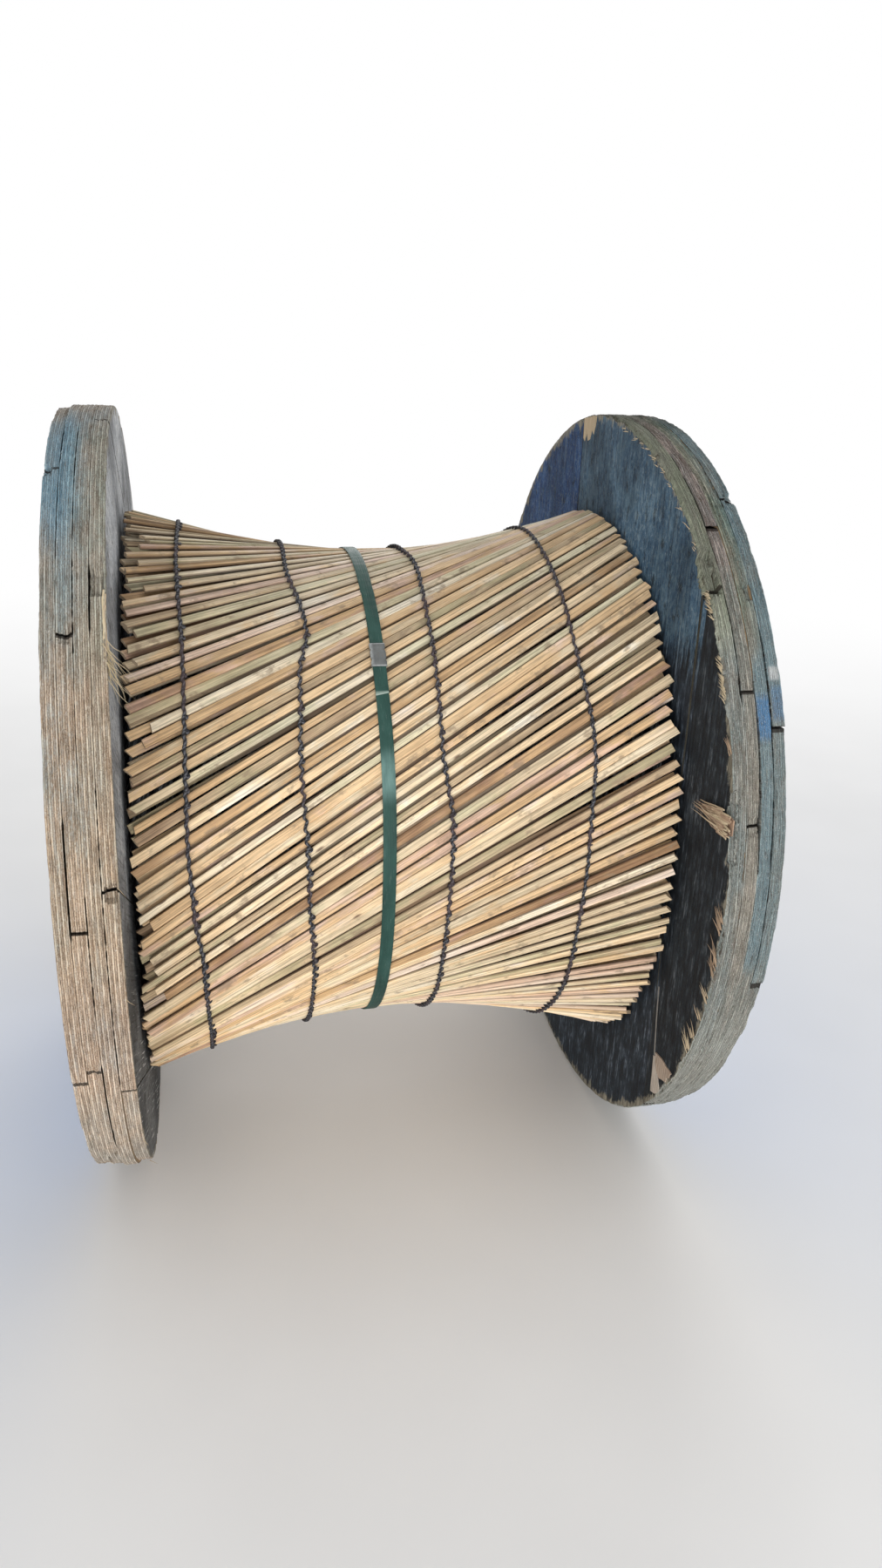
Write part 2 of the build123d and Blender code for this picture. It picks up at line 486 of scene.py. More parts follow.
class Face(Shader):
    """Painted plywood face, worn in streaks that follow the veneer, bare along its rim."""

    def __init__(self, name, pale, dirt):
        super().__init__(name)
        self.pale = pale
        self.dirt = dirt
        self.uv = self.place("UV")
        self.x, self.y, self.z = self.axes(self.place())
        up = self.z - AXIS_Z
        self.radius = (self.y * self.y + up * up).math("SQRT")
        self.along = self.grain(self.uv, (210, 11), 6.0, 0.68, 0.25)
        self.fine = self.grain(self.uv, (640, 80), 4.0, 0.7)
        self.cloud = self.grain(self.uv, (6.5, 4.2), 7.0, 0.62)
        self.blot = self.grain(self.uv, (60, 26), 6.0, 0.7)
        self.mottle = self.grain(self.uv, (38, 20), 7.0, 0.72, 0.4)
        self.speck = self.grain(self.uv, (150, 85), 6.0, 0.75)
        self.streak = self.grain(self.uv, (330, 7), 4.0, 0.6, 0.3)
        self.scuff = self.along * 0.6 + self.fine * 0.4 + (self.blot - 0.5) * 0.7

    def painted(self, paint, past_seam):
        """The paint, which may differ past the seam line."""
        pick = self.mottle * 0.55 + self.along * 0.30 + (self.speck - 0.30) * 0.50
        self.colour = pick.ramp(*paint)
        if past_seam:
            self.over(self.y.fade(SEAM_Y - 0.001, SEAM_Y + 0.001), pick.ramp(*past_seam))

    def worn(self, wear, dark, light):
        """Bare streaks and specks from wear on, dirt in the pits, broad dark and light."""
        start, full = wear
        fleck = self.grain(self.uv, (420, 150), 4.0, 0.7)
        self.over(self.streak.fade(0.55, 0.66, 0.0, 0.45), self.pale)
        self.over(self.scuff.fade(start, full, 0.0, 0.85), self.pale)
        self.over(self.streak.fade(0.44, 0.36, 0.0, 0.65), self.dirt)
        self.over(self.blot.fade(0.55, 0.65, 0.0, 0.85), self.dirt)
        self.over(fleck.fade(start, start + 0.08, 0.0, 0.6), self.pale)
        self.over(fleck.fade(0.42, 0.36, 0.0, 0.6), self.dirt)
        speckle = self.speck + (self.cloud - 0.5) * 0.5
        self.over(speckle.fade(start + 0.02, start + 0.08, 0.0, 0.45), self.pale)
        self.shade(self.cloud.fade(0.40, 0.60, dark, light))

    def nailed(self):
        """Rust marks where nails sit."""
        for y, z, size in NAIL_MARKS:
            ends = {0: self.combine(0.0, self.y, self.z), 1: (0.0, y, z)}
            reach = self.output("ShaderNodeVectorMath", "Value", ends, operation="DISTANCE")
            self.over(reach.fade(size, size * 0.6, 0.0, 0.9), NAIL_RUST)

    def painted_low_shade(self):
        """Painted shade on the lower part, which reaches higher on the foremost board."""
        near = self.z.fade(0.88, 0.62)
        beyond = self.z.fade(0.89, 0.78)
        past = self.y.fade(DARK_BOARD_Y + 0.002, DARK_BOARD_Y - 0.002)
        reach = near + past * (beyond - near)
        uneven = (self.cloud - 0.5) * 1.4 + (self.scuff - 0.5) * -1.2
        black = self.mix(past.rest(), self.scuff.ramp(*PAINTED_SHADE_STOPS), THIN_SHADE_TINT, "MULTIPLY")
        self.over((reach + uneven).fade(0.18, 0.64, 0.0, 0.95), black)

    def low_shade_and_streaks(self, painted_shading):
        """The lower part darker by painted shade, up to the given amount, with long pale streaks."""
        self.tint(self.z.fade(0.66, 0.40, 0.0, painted_shading), LOW_SHADE_TINT)
        self.over(self.streak.fade(0.60, 0.66) * self.z.fade(0.5, 0.3), self.pale)

    def ringed(self, ring):
        """Tired, dented and scratched paint with a scribed ring of that radius."""
        tired = self.grain(self.uv, (2.2, 1.4), 5.0, 0.6)
        self.over(tired.fade(0.46, 0.62, 0.0, 0.55), TIRED_BLUE)
        dent = self.cells(self.uv, (21, 9)).fade(0.085, 0.045)
        self.over(dent * self.mottle.fade(0.50, 0.56), DENT_DARK)
        self.over(self.blot.fade(0.62, 0.66) * tired.fade(0.50, 0.58), FLAKED_WOOD)
        scratch = self.grain(self.uv, (900, 14), 3.0, 0.6, 1.5).fade(0.63, 0.67)
        self.over(scratch * self.mottle.fade(0.50, 0.58) * 0.7, SCRATCH_PALE)
        spread = self.radius + (self.cloud - 0.5) * 0.012
        mark = spread.fade(ring - 0.008, ring - 0.001) * spread.fade(ring + 0.006, ring)
        self.over(mark * self.scuff.fade(0.48, 0.60), self.pale)

    def edged(self, roughness, gloss):
        """Bare wood along the rim, and the rest of the surface."""
        worn = self.radius + (self.blot - 0.5) * 0.060 + (self.fine - 0.5) * 0.020
        self.over(worn.fade(0.4895, 0.4945, 0.0, 0.9), self.along.ramp(*BARE_WOOD))
        normal = self.bump(self.along * 0.9 + self.fine * 0.4 + self.blot * 0.7, 0.9, 0.0018)
        return self.finish(self.scuff.fade(0.3, 0.7, *roughness), normal, specular=gloss)


def navy_face():
    """Inner face of the right flange: worn navy paint, with painted shade below."""
    s = Face("worn_navy_paint", (0.200, 0.250, 0.265), (0.012, 0.018, 0.026))
    s.painted(((0.39, (0.012, 0.028, 0.050)), (0.50, (0.041, 0.089, 0.150)),
               (0.61, (0.098, 0.172, 0.238))),
              ((0.39, (0.004, 0.016, 0.062)), (0.50, (0.013, 0.052, 0.168)),
               (0.61, (0.038, 0.102, 0.240))))
    s.worn((0.56, 0.70), 0.55, 1.30)
    s.painted_low_shade()
    return s.edged((0.6, 0.85), 0.15)


def grey_face():
    """Inner face of the left flange: weathered grey wood with nail marks."""
    s = Face("worn_grey_face", (0.60, 0.60, 0.59), (0.09, 0.085, 0.08))
    s.painted(((0.38, (0.17, 0.185, 0.205)), (0.50, (0.31, 0.33, 0.36)),
               (0.62, (0.43, 0.45, 0.47))), None)
    s.worn((0.55, 0.70), 0.55, 1.30)
    s.nailed()
    s.low_shade_and_streaks(0.9)
    return s.edged((0.6, 0.85), 0.2)


def blue_face():
    """Outer faces: bright blue paint with a scribed ring."""
    s = Face("bright_blue_paint", (0.24, 0.38, 0.56), (0.006, 0.085, 0.29))
    s.painted(((0.38, (0.006, 0.120, 0.400)), (0.50, (0.009, 0.190, 0.610)),
               (0.62, (0.020, 0.250, 0.740))), None)
    s.worn((0.60, 0.80), 0.84, 1.12)
    s.low_shade_and_streaks(0.0)
    s.ringed(0.17)
    return s.edged((0.42, 0.66), 0.35)


# Other materials

def torn_material():
    """Freshly torn veneer and splinters: orange-brown wood with pale fibres."""
    s = Shader("torn_veneer")
    fibre = s.grain(s.place("UV"), (40, 900), 5.0, 0.65)
    cloud = s.noise(s.place(), 60.0)
    s.colour = fibre.ramp((0.28, (0.13, 0.07, 0.045)), (0.5, (0.36, 0.235, 0.16)),
                          (0.75, (0.56, 0.41, 0.29)))
    s.over(cloud.fade(0.4, 0.65, 0.0, 0.6), (0.22, 0.15, 0.11))
    s.over(s.value("straw"), fibre.ramp((0.3, (0.42, 0.33, 0.20)), (0.7, (0.74, 0.63, 0.44))))
    s.over(s.value("aged"), fibre.ramp((0.38, (0.30, 0.27, 0.235)), (0.62, (0.66, 0.62, 0.56))))
    # Painted shade on flakes that lie in the shaded part of the face
    s.over(s.value("painted_low_shade"), (0.06, 0.065, 0.07))
    normal = s.bump(fibre, 0.7, 0.001)
    return s.finish(fibre.fade(0.2, 0.8, 0.95, 0.75), normal, specular=0.25)


STRAW_STOPS = ((0.0, (0.22, 0.13, 0.075)), (0.15, (0.37, 0.25, 0.15)), (0.35, (0.53, 0.395, 0.245)),
               (0.60, (0.68, 0.54, 0.355)), (0.80, (0.79, 0.67, 0.49)), (1.0, (0.88, 0.80, 0.66)))
AMBER_STOPS = ((0.0, (0.25, 0.135, 0.07)), (0.35, (0.56, 0.365, 0.19)),
               (0.7, (0.74, 0.53, 0.31)), (1.0, (0.84, 0.68, 0.46)))
PINK_STOPS = ((0.0, (0.26, 0.14, 0.10)), (0.35, (0.57, 0.37, 0.26)),
              (0.7, (0.76, 0.58, 0.45)), (1.0, (0.86, 0.74, 0.62)))
OLIVE_STOPS = ((0.0, (0.20, 0.155, 0.09)), (0.5, (0.47, 0.41, 0.24)), (1.0, (0.72, 0.66, 0.45)))
CUT_STOPS = ((0.3, (0.36, 0.25, 0.155)), (0.7, (0.66, 0.52, 0.36)))
# Painted shade on the lower edges of the laths
LATH_EDGE_SHADE = (0.115, 0.062, 0.045)
# Painted light that makes the lower laths paler and warmer
LATH_LOW_LIGHT_TINT = (1.22, 1.13, 0.98)
LATH_STAIN = (0.25, 0.18, 0.115)
LATH_KNOT = (0.12, 0.065, 0.04)
# Painted shade that darkens and greys the upper laths
LATH_TOP_SHADE_TINT = (0.58, 0.60, 0.62)
# Painted shade on the middle of the inner laths
LATH_INSIDE_SHADE = (0.05, 0.028, 0.022)


def lath_material(name, sunken):
    """Thin wood strips: each lath has its own tone, with long grain, knots and stains."""
    s = Shader(name)
    place = s.place("UV")
    x, _, z = s.axes(s.place())
    grain = s.grain(place, (7, 700), 6.0, 0.65, 0.2)
    fine = s.grain(place, (40, 1500), 4.0, 0.6)
    cloud = s.grain(place, (9, 24), 5.0, 0.6)
    stain = s.grain(place, (34, 90), 4.0, 0.65)
    drift = s.grain(place, (13, 60), 5.0, 0.6, shift=(3, 7, 0))
    # Painted light: the laths get paler and warmer towards the bottom
    painted_low_light = z.fade(0.48, 0.18)
    # The last term is painted shade: the laths darken towards the left flange
    pick = s.value("tone") + (cloud - 0.5) + painted_low_light * 0.36 - x.fade(-0.14, -0.31, 0.0, 0.13)
    hue = s.value("warm") + (drift - 0.5) * 1.1 + painted_low_light * 0.14
    s.colour = pick.ramp(*STRAW_STOPS)
    s.over(hue.fade(0.50, 0.62), pick.ramp(*AMBER_STOPS))
    s.over(hue.fade(0.76, 0.92), pick.ramp(*PINK_STOPS))
    s.over(hue.fade(0.20, 0.04, 0.0, 0.8), pick.ramp(*OLIVE_STOPS))
    s.shade((grain * 0.7 + fine * 0.3).fade(0.38, 0.60, 0.58, 1.12))
    s.tint(painted_low_light * 0.75, LATH_LOW_LIGHT_TINT)
    s.over(stain.fade(0.56, 0.68, 0.0, 0.7), LATH_STAIN)
    knot = s.cells(place, (17, 95)).fade(0.13, 0.05) * drift.fade(0.52, 0.60)
    s.over(knot * 0.85, LATH_KNOT)
    # Painted shade on each lath's lower edges
    s.over(s.value("edge") * 0.70, LATH_EDGE_SHADE)
    s.over(s.value("cut"), fine.ramp(*CUT_STOPS))
    # Painted shade: the laths darker and greyer towards the top
    s.tint(z.fade(0.60, 0.86, 0.0, 0.45), LATH_TOP_SHADE_TINT)
    # Painted shade: the inner laths darken towards the middle, under the outer ones
    if sunken:
        s.over(x.math("ABSOLUTE").fade(0.17, 0.29, 0.70, 0.0), LATH_INSIDE_SHADE)
    normal = s.bump(grain + fine * 0.4, 0.5, 0.0005)
    return s.finish(grain.fade(0.2, 0.8, 0.80, 0.58), normal, specular=0.35)


def twine_material():
    """Dark blue-black synthetic twine, laid from two yarns."""
    s = Shader("dark_twine")
    lay = s.bands(s.place("UV"), 95.0, 1.2, 2.0, "DIAGONAL")
    fuzz = s.noise(s.place(), 900.0, 3.0, 0.7)
    faded = s.noise(s.place(), 22.0, 3.0)
    s.colour = (lay * 0.6 + fuzz * 0.4).ramp(
        (0.2, (0.010, 0.011, 0.014)), (0.6, (0.050, 0.051, 0.060)), (0.9, (0.15, 0.15, 0.16)))
    s.over(faded.fade(0.44, 0.64, 0.0, 0.6), (0.075, 0.048, 0.050))
    normal = s.bump(lay + fuzz * 0.5, 0.9, 0.0006)
    return s.finish(fuzz.fade(0.3, 0.7, 0.9, 0.65), normal, specular=0.3)


def strap_material():
    """Embossed dark green plastic strap with scuffs along its ribs."""
    s = Shader("green_strap")
    place = s.place("UV")
    emboss = s.bands(place, 160.0, 0.6, 1.0, "DIAGONAL")
    rib = s.bands(place, 110.0, 0.2, 0.0, "Y")
    scratch = s.grain(place, (35, 1300), 5.0, 0.7)
    cloud = s.grain(place, (16, 60), 5.0, 0.6)
    s.colour = cloud.ramp((0.3, (0.012, 0.040, 0.032)), (0.55, (0.022, 0.064, 0.052)),
                          (0.75, (0.040, 0.092, 0.078)))
    up = s.axes(s.place())[2]
    # A painted sheen: a paler band across the strap between two heights
    sheen = up.fade(*SHEEN_LOW) * up.fade(*SHEEN_HIGH)
    s.over(sheen * cloud.fade(0.35, 0.6, 0.6, 1.0), (0.13, 0.23, 0.21))
    s.over(scratch.fade(0.60, 0.72, 0.0, 0.6), (0.30, 0.38, 0.34))
    s.over(s.value("pale") * 0.8, (0.42, 0.50, 0.44))
    normal = s.bump(emboss * 0.35 + rib * 0.5 + scratch, 0.45, 0.0004)
    return s.finish(cloud.fade(0.3, 0.7, 0.50, 0.66), normal, specular=0.2)


def metal_material(name, dark, light, rust, metallic, rough_low, rough_high):
    """Dull metal with grain, rubbed spots and a little rust."""
    s = Shader(name)
    place = s.place()
    grain = s.noise(place, 260.0, 4.0, 0.65)
    cloud = s.noise(place, 34.0, 5.0, 0.6)
    s.colour = cloud.ramp((0.3, dark), (0.7, light))
    s.over(s.value("rubbed") * grain.fade(0.35, 0.6, 0.4, 0.9), (0.33, 0.345, 0.345))
    s.over((cloud * 0.5 + grain * 0.5).fade(0.54, 0.68, 0.0, rust), (0.17, 0.075, 0.035))
    normal = s.bump(grain, 0.4, 0.0004)
    return s.finish(grain.fade(0.3, 0.7, rough_low, rough_high), normal, metallic=metallic)


def conductor_material():
    """Turns of stranded aluminium conductor, seen only through the mat's gaps."""
    s = Shader("aluminium_conductor")
    place = s.place()
    x, y, z = s.axes(place)
    turns = (x * (2 * math.pi / WIRE_PITCH)).math("SINE")
    lay = (z.math("ARCTAN2", y) * 260.0 + x * 900.0).math("SINE")
    grime = s.noise(place, 30.0, 5.0, 0.6)
    s.colour = grime.ramp((0.3, (0.16, 0.165, 0.17)), (0.7, (0.36, 0.37, 0.38)))
    # Painted shade in the grooves between the turns
    s.over(turns.fade(-0.3, -0.95), (0.02, 0.02, 0.022))
    normal = s.bump(turns + lay * 0.35, 1.0, 0.004)
    return s.finish(grime.fade(0.3, 0.7, 0.35, 0.6), normal, metallic=0.85)


def stave_material():
    """Plain sawn softwood inside the barrel."""
    s = Shader("sawn_stave")
    place = s.place()
    grain = s.grain(place, (6, 220, 220), 5.0, 0.6, 0.3)
    cloud = s.grain(place, (5, 30, 30))
    s.colour = grain.ramp((0.3, (0.30, 0.19, 0.105)), (0.55, (0.48, 0.335, 0.195)),
                          (0.75, (0.60, 0.45, 0.29)))
    s.over(cloud.fade(0.4, 0.7, 0.0, 0.5), (0.24, 0.18, 0.13))
    normal = s.bump(grain, 0.6, 0.001)
    return s.finish(grain.fade(0.2, 0.8, 0.9, 0.7), normal, specular=0.25)


def floor_material():
    """Pale matt floor that turns into the white background away from the drum."""
    s = Shader("pale_floor")
    place = s.place()
    cloud = s.noise(place, 3.0, 2.0)
    s.colour = cloud.ramp((0.3, (0.80, 0.80, 0.80)), (0.7, (0.83, 0.83, 0.83)))
    s.finish(cloud.fade(0.3, 0.7, 0.9, 0.8), specular=0.1)
    distance = s.output("ShaderNodeVectorMath", "Value", {0: place}, operation="LENGTH")
    white = s.node("ShaderNodeEmission", {"Color": (1, 1, 1, 1), "Strength": 1.0})
    blend = s.node("ShaderNodeMixShader", {"Fac": s.seen() * distance.fade(1.2, 3.6)})
    s.tree.links.new(s.surface.outputs["BSDF"], blend.inputs[1])
    s.tree.links.new(white.outputs["Emission"], blend.inputs[2])
    surface = s.tree.nodes["Material Output"].inputs["Surface"]
    s.tree.links.new(blend.outputs["Shader"], surface)
    return s.material


# Flanges

class Layer:
    """One plywood layer: where it is, how it is sawn and how its rim is worn."""

    def __init__(self, side, number, lean, seams, seed):
        self.side = side
        self.number = number
        self.lean = lean
        self.seams = sorted(seams)
        self.seed = seed
        self.inner_x = FACE + (number - 1) * PLY
        self.sign = -1 if side == "left" else 1
        self.node = f"{side}_flange_layer_{number}"

    def boards(self):
        """Pairs of seam distances that bound each board."""
        bounds = [-RIM, *self.seams, RIM]
        return list(zip(bounds, bounds[1:]))

    def crossing(self, seam):
        """The two angles at which a seam line meets the rim."""
        across = 90 + self.lean
        swing = math.degrees(math.acos(seam / RIM))
        return (across - swing) % 360, (across + swing) % 360

    def board_at(self, angle):
        """Number of the board that reaches the rim at an angle."""
        distance = RIM * math.cos(math.radians(angle - 90 - self.lean))
        return sum(distance > seam for seam in self.seams)

    def arcs(self, low, high):
        """Rim arcs of one board, as (start, end), in the order of a walk round it."""
        upper = self.crossing(high) if high < RIM else None
        lower = self.crossing(low) if low > -RIM else None
        if upper and lower:
            return [(upper[1], lower[1]), (lower[0], upper[0])]
        if upper:
            return [(upper[1], upper[0])]
        return [lower]


CROSSWISE = 0
UPRIGHT = 90
LEFT_INNER = -32
LAYERS = [
    Layer("left", 1, LEFT_INNER, (0.373, -0.182, -0.384), 11),
    Layer("left", 2, UPRIGHT, (-0.160,), 12),
    Layer("left", 3, CROSSWISE, (0.321, 0.052, -0.121), 13),
    Layer("left", 4, CROSSWISE, (0.455, -0.137), 14),
    Layer("right", 1, UPRIGHT, (-0.110, 0.355), 21),
    Layer("right", 2, CROSSWISE, (0.406, 0.254, 0.118), 22),
    Layer("right", 3, UPRIGHT, (-0.150,), 23),
    Layer("right", 4, CROSSWISE, (0.431, 0.218, -0.083), 24),
]

# Cracks between neighbouring layers: side, inner layer, start, end, opening
CRACKS = [
    ("left", 1, 158, 168, 0.0010),
    ("left", 2, 104, 117, 0.0012),
    ("left", 2, 121, 127, 0.0009),
    ("left", 2, 131, 142, 0.0016),
    ("left", 2, 148, 158, 0.0006),
    ("left", 3, 162, 174, 0.0024),
    ("left", 1, 170, 196, 0.0012),
    ("left", 2, 170, 184, 0.0012),
    ("left", 2, 194, 213, 0.0028),
    ("left", 3, 96, 112, 0.0020),
    ("left", 3, 118, 130, 0.0007),
    ("left", 1, 132, 139, 0.0022),
    ("right", 1, 99, 131, 0.0040),
    ("right", 1, 134, 150, 0.0026),
    ("right", 2, 149, 172, 0.0022),
    ("right", 3, 142, 196, 0.0026),
    ("right", 3, 112, 128, 0.0010),
    ("right", 2, 104, 118, 0.0009),
]

# Bites out of a rim: side, layer, start, end, from and to as shares of its thickness, depth
BITES = [
    ("left", 1, 132.2, 135.0, 0.15, 0.95, 0.008),
    ("left", 1, 168.9, 170.3, 0.10, 0.75, 0.007),
    ("left", 4, 113.4, 115.6, 0.55, 1.00, 0.005),
    ("left", 3, 139.3, 140.8, 0.20, 0.80, 0.003),
    ("right", 1, 130.0, 136.0, 0.00, 0.70, 0.012),
    ("right", 1, 162.0, 171.0, 0.00, 0.30, 0.006),
    ("right", 2, 165.5, 167.3, 0.20, 0.95, 0.003),
    ("right", 3, 135.0, 137.0, 0.55, 1.00, 0.005),
    ("right", 4, 119.6, 121.0, 0.40, 1.00, 0.004),
]

# Boards whose rim stands back from the rest: side, layer, an angle on the board, how far
SET_BACK = [
    ("left", 4, 230, 0.0045),
    ("left", 4, 105, 0.0035),
    ("left", 3, 230, 0.0030),
    ("left", 1, 235, 0.0035),
    ("left", 3, 157, 0.0010),
    ("right", 4, 172, 0.0022),
    ("right", 4, 230, 0.0050),
    ("right", 2, 137, 0.0020),
    ("right", 2, 157, 0.0008),
]


def ahead(angle, reference):
    """Signed difference of two angles, between -180 and 180."""
    return (angle - reference + 180) % 360 - 180


def crack_opening(side, boundary, angle):
    """Opening of the crack between a layer and the next one out, at an angle."""
    turn = angle % 360
    total = 0.0
    for name, inner, start, end, opening in CRACKS:
        if name == side and inner == boundary:
            broken = smooth(-0.45, 0.15, rough(angle * 0.9, boundary * 5.0, 6.0))
            if opening >= STEADY_CRACK:
                broken = 1.0
            total = max(total, 0.75 * opening * window(start, end, 1.5, turn) * broken)
    if not 90 < turn < 270:
        behind = rough(angle * 0.21, boundary * 7.3, 3.0 if side == "left" else 9.0)
        total = max(total, 0.0016 * smooth(0.25, 0.45, behind))
    return total * (1 + 0.35 * rough(angle * 1.1, boundary))


def set_back(layer, angle):
    """How far the board at an angle stands back from the rim."""
    for side, number, reference, depth in SET_BACK:
        if side == layer.side and number == layer.number and abs(ahead(angle, reference)) < 90:
            if layer.board_at(reference) == layer.board_at(angle):
                return depth
    return 0.0


def rim_radius(layer, angle, share):
    """Radius of the rim at an angle and a share of the layer's thickness, inner side first."""
    chance = random.Random(layer.seed * 31 + layer.board_at(angle))
    radius = RIM - chance.uniform(0.0002, 0.0013) - set_back(layer, angle)
    arc = math.radians(angle) * RIM
    ply = min(PLIES - 1, int(share * PLIES))
    key = layer.seed * 10 + ply
    radius -= 0.0005 * (ply % 2)
    radius += 0.0008 * rough(arc * 24, key * 1.7, 0.0)
    radius += 0.0006 * rough(arc * 170, key * 3.1, share * 6)
    radius -= 0.0022 * smooth(0.25, 0.6, rough(arc * 9, share * 1.5, layer.seed * 2.7))
    for side, number, start, end, low, high, depth in BITES:
        if side == layer.side and number == layer.number:
            ragged = 0.35 * rough(arc * 300, share * 9, 4.0)
            inside = window(start, end, 0.35, angle % 360 + ragged)
            inside *= window(low, high, 0.07, share + 0.1 * rough(arc * 200, 8.0, share))
            radius -= depth * inside
    return min(RIM - 0.0001, radius)


def chip_reach(layer, angle):
    """How far the veneer of an open face is torn back from the rim."""
    arc = math.radians(angle) * RIM
    turn = angle % 360
    base = 0.0012 + 0.0010 * rough(arc * 60, layer.seed, 2.0)
    patchy = smooth(0.05, 0.5, rough(arc * 14, layer.seed * 1.3, 5.0))
    jag = 0.5 + 0.5 * abs(rough(arc * 130, layer.seed * 2.1, 7.0))
    reach = base + 0.0075 * patchy * jag
    if layer.side == "right" and layer.number == 1:
        reach += 0.009 * window(99, 150, 6, turn) * jag
        reach += 0.004 * window(170, 205, 8, turn) * jag
        reach += 0.013 * window(164, 167, 1.0, turn) * jag
    return max(0.0005, reach)


def rim_columns(start, end, first, last):
    """Angles of one rim arc, with its exact ends and the edges that get painted shade, first and
    last wide.
    """
    span = (end - start) % 360
    count = max(2, int(span / RIM_STEP))
    end = start + span
    steps = [start + span * step / count for step in range(1, count)]
    clear = 0.05
    inside = [angle for angle in steps if start + first + clear < angle < end - last - clear]
    return [start, start + first - JOINT_FADE, start + first, *inside,
            end - last, end - last + JOINT_FADE, end]


def patch_at(turn, around_rim, depth, through_rim):
    """1 inside a soft patch of the rim: start, end and softness, round it and through it."""
    return window(*around_rim, turn) * window(*through_rim, depth)


def left_looks(turn, depth):
    """Where the left rim is blue, grey, pale and olive, and where shade and light are painted on it,
    at a share of its depth.
    """
    outer_half = smooth(0.10, 0.85, depth)
    blue = 0.56 * window(103, 118, 14, turn) * outer_half
    blue += 0.25 * window(118, 152, 22, turn) * outer_half
    blue += 0.24 * patch_at(turn, (98, 132, 14), depth, (0.0, 0.6, 0.3))
    blue += 0.08 * patch_at(turn, (150, 190, 12), depth, (0.5, 1.0, 0.2))
    grey = 0.95 * (1 - smooth(128, 158, turn)) + 0.10
    olive = 0.45 * window(110, 140, 14, turn) * (1 - outer_half)
    return dict(
        blue=blue,
        grey=max(grey, 0.40 * smooth(200, 215, turn)),
        pale=0.30 * window(202, 240, 6, turn),
        # Painted light on the lower front of the rim, and a little on its front
        painted_shading=-0.34 * window(196, 240, 8, turn) - 0.13 * window(148, 178, 8, turn),
        olive=max(olive, 0.20 * window(136, 176, 12, turn)))


def right_looks(turn, depth):
    """The same for the right rim, and where it is bright blue, scuffed and mauve."""
    blue = 0.62 * window(98, 142, 12, turn) * smooth(0.42, 0.80, depth)
    blue += 0.85 * patch_at(turn, (148, 184, 6), depth, (0.52, 0.74, 0.03))
    blue += 0.60 * patch_at(turn, (140, 188, 8), depth, (0.77, 1.0, 0.03))
    blue += 0.34 * patch_at(turn, (146, 200, 8), depth, (0.0, 0.27, 0.04))
    grey = 0.95
    grey -= 0.45 * patch_at(turn, (150, 186, 6), depth, (0.25, 0.48, 0.04))
    grey -= 0.30 * patch_at(turn, (100, 122, 6), depth, (0.25, 0.50, 0.04))
    pale = 0.85 * smooth(186, 202, turn) + 0.25 * window(140, 186, 8, turn)
    pale += 0.75 * patch_at(turn, (98, 140, 6), depth, (0.0, 0.24, 0.03))
    third_patch = patch_at(turn, (151.0, 154.6, 1.8), depth, (0.52, 0.73, 0.03))
    fourth_patch = 0.6 * patch_at(turn, (149.5, 152.6, 1.2), depth, (0.82, 1.0, 0.05))
    first_layer = 1 - smooth(0.22, 0.29, depth)
    third_layer = window(0.52, 0.72, 0.05, depth)
    return dict(
        blue=blue, grey=grey, pale=pale,
        bright=max(third_patch, fourth_patch),
        # Painted shade on the top of the rim
        painted_shading=max(0.44 * window(96, 134, 10, turn) * first_layer, 0.70 * window(80, 97, 8, turn)),
        scuff=patch_at(turn, (146.6, 147.8, 0.5), depth, (0.82, 0.95, 0.05)),
        olive=0.65 * window(96, 138, 10, turn) * max(first_layer, third_layer),
        mauve=patch_at(turn, (100, 128, 8), depth, (0.27, 0.48, 0.03)))


def rim_values(layer, angle, share):
    """Values that tell the rim material what the wood is like at a point, and where shade and light
    are painted.
    """
    turn = angle % 360
    depth = (layer.number - 1 + share) / LAYER_COUNT
    values = left_looks(turn, depth) if layer.side == "left" else right_looks(turn, depth)
    if turn < 85 or turn > 275:
        values["grey"] = 0.75
        values["blue"] = 0.35 * smooth(-0.1, 0.4, rough(turn * 0.05, depth * 2, layer.sign))
    for name in ("blue", "grey", "pale"):
        values[name] = min(1.0, max(0.0, values[name]))
    line = abs(share * PLIES - round(share * PLIES))
    values["ply"] = 0.5 * (int(share * PLIES) % 2) + 0.5 * smooth(0.3, 0.0, line)
    return values


def rim_corner(layer, angle, boundary, share, direction):
    """Three points that turn the corner on one side of a layer: x, radius and how much painted
    shade.
    """
    corner = rim_radius(layer, angle, share)
    x = 0.0 if direction > 0 else PLY
    if boundary in (0, LAYER_COUNT):
        reach = chip_reach(layer, angle)
        arc = math.radians(angle) * RIM
        veneer = direction * (VENEER + 0.0004 * wave(arc * 90, layer.seed))
        return [(x, corner - reach, 0.0), (x + veneer, corner - reach * 0.75, 0.0),
                (x + veneer * 1.3, corner - 0.0007, 0.0)]
    opening = crack_opening(layer.side, boundary, angle)
    gap = direction * opening / 2
    is_open = opening > CRACK_OPEN
    floor = corner - (CRACK_DEPTH if is_open else SHUT_DEPTH)
    return [(x, floor, 1.0 if is_open else 0.75),
            (x + gap + direction * 0.0001, floor, 1.0 if is_open else 0.6),
            (x + gap + direction * 0.0003, corner - 0.0003, 0.25)]


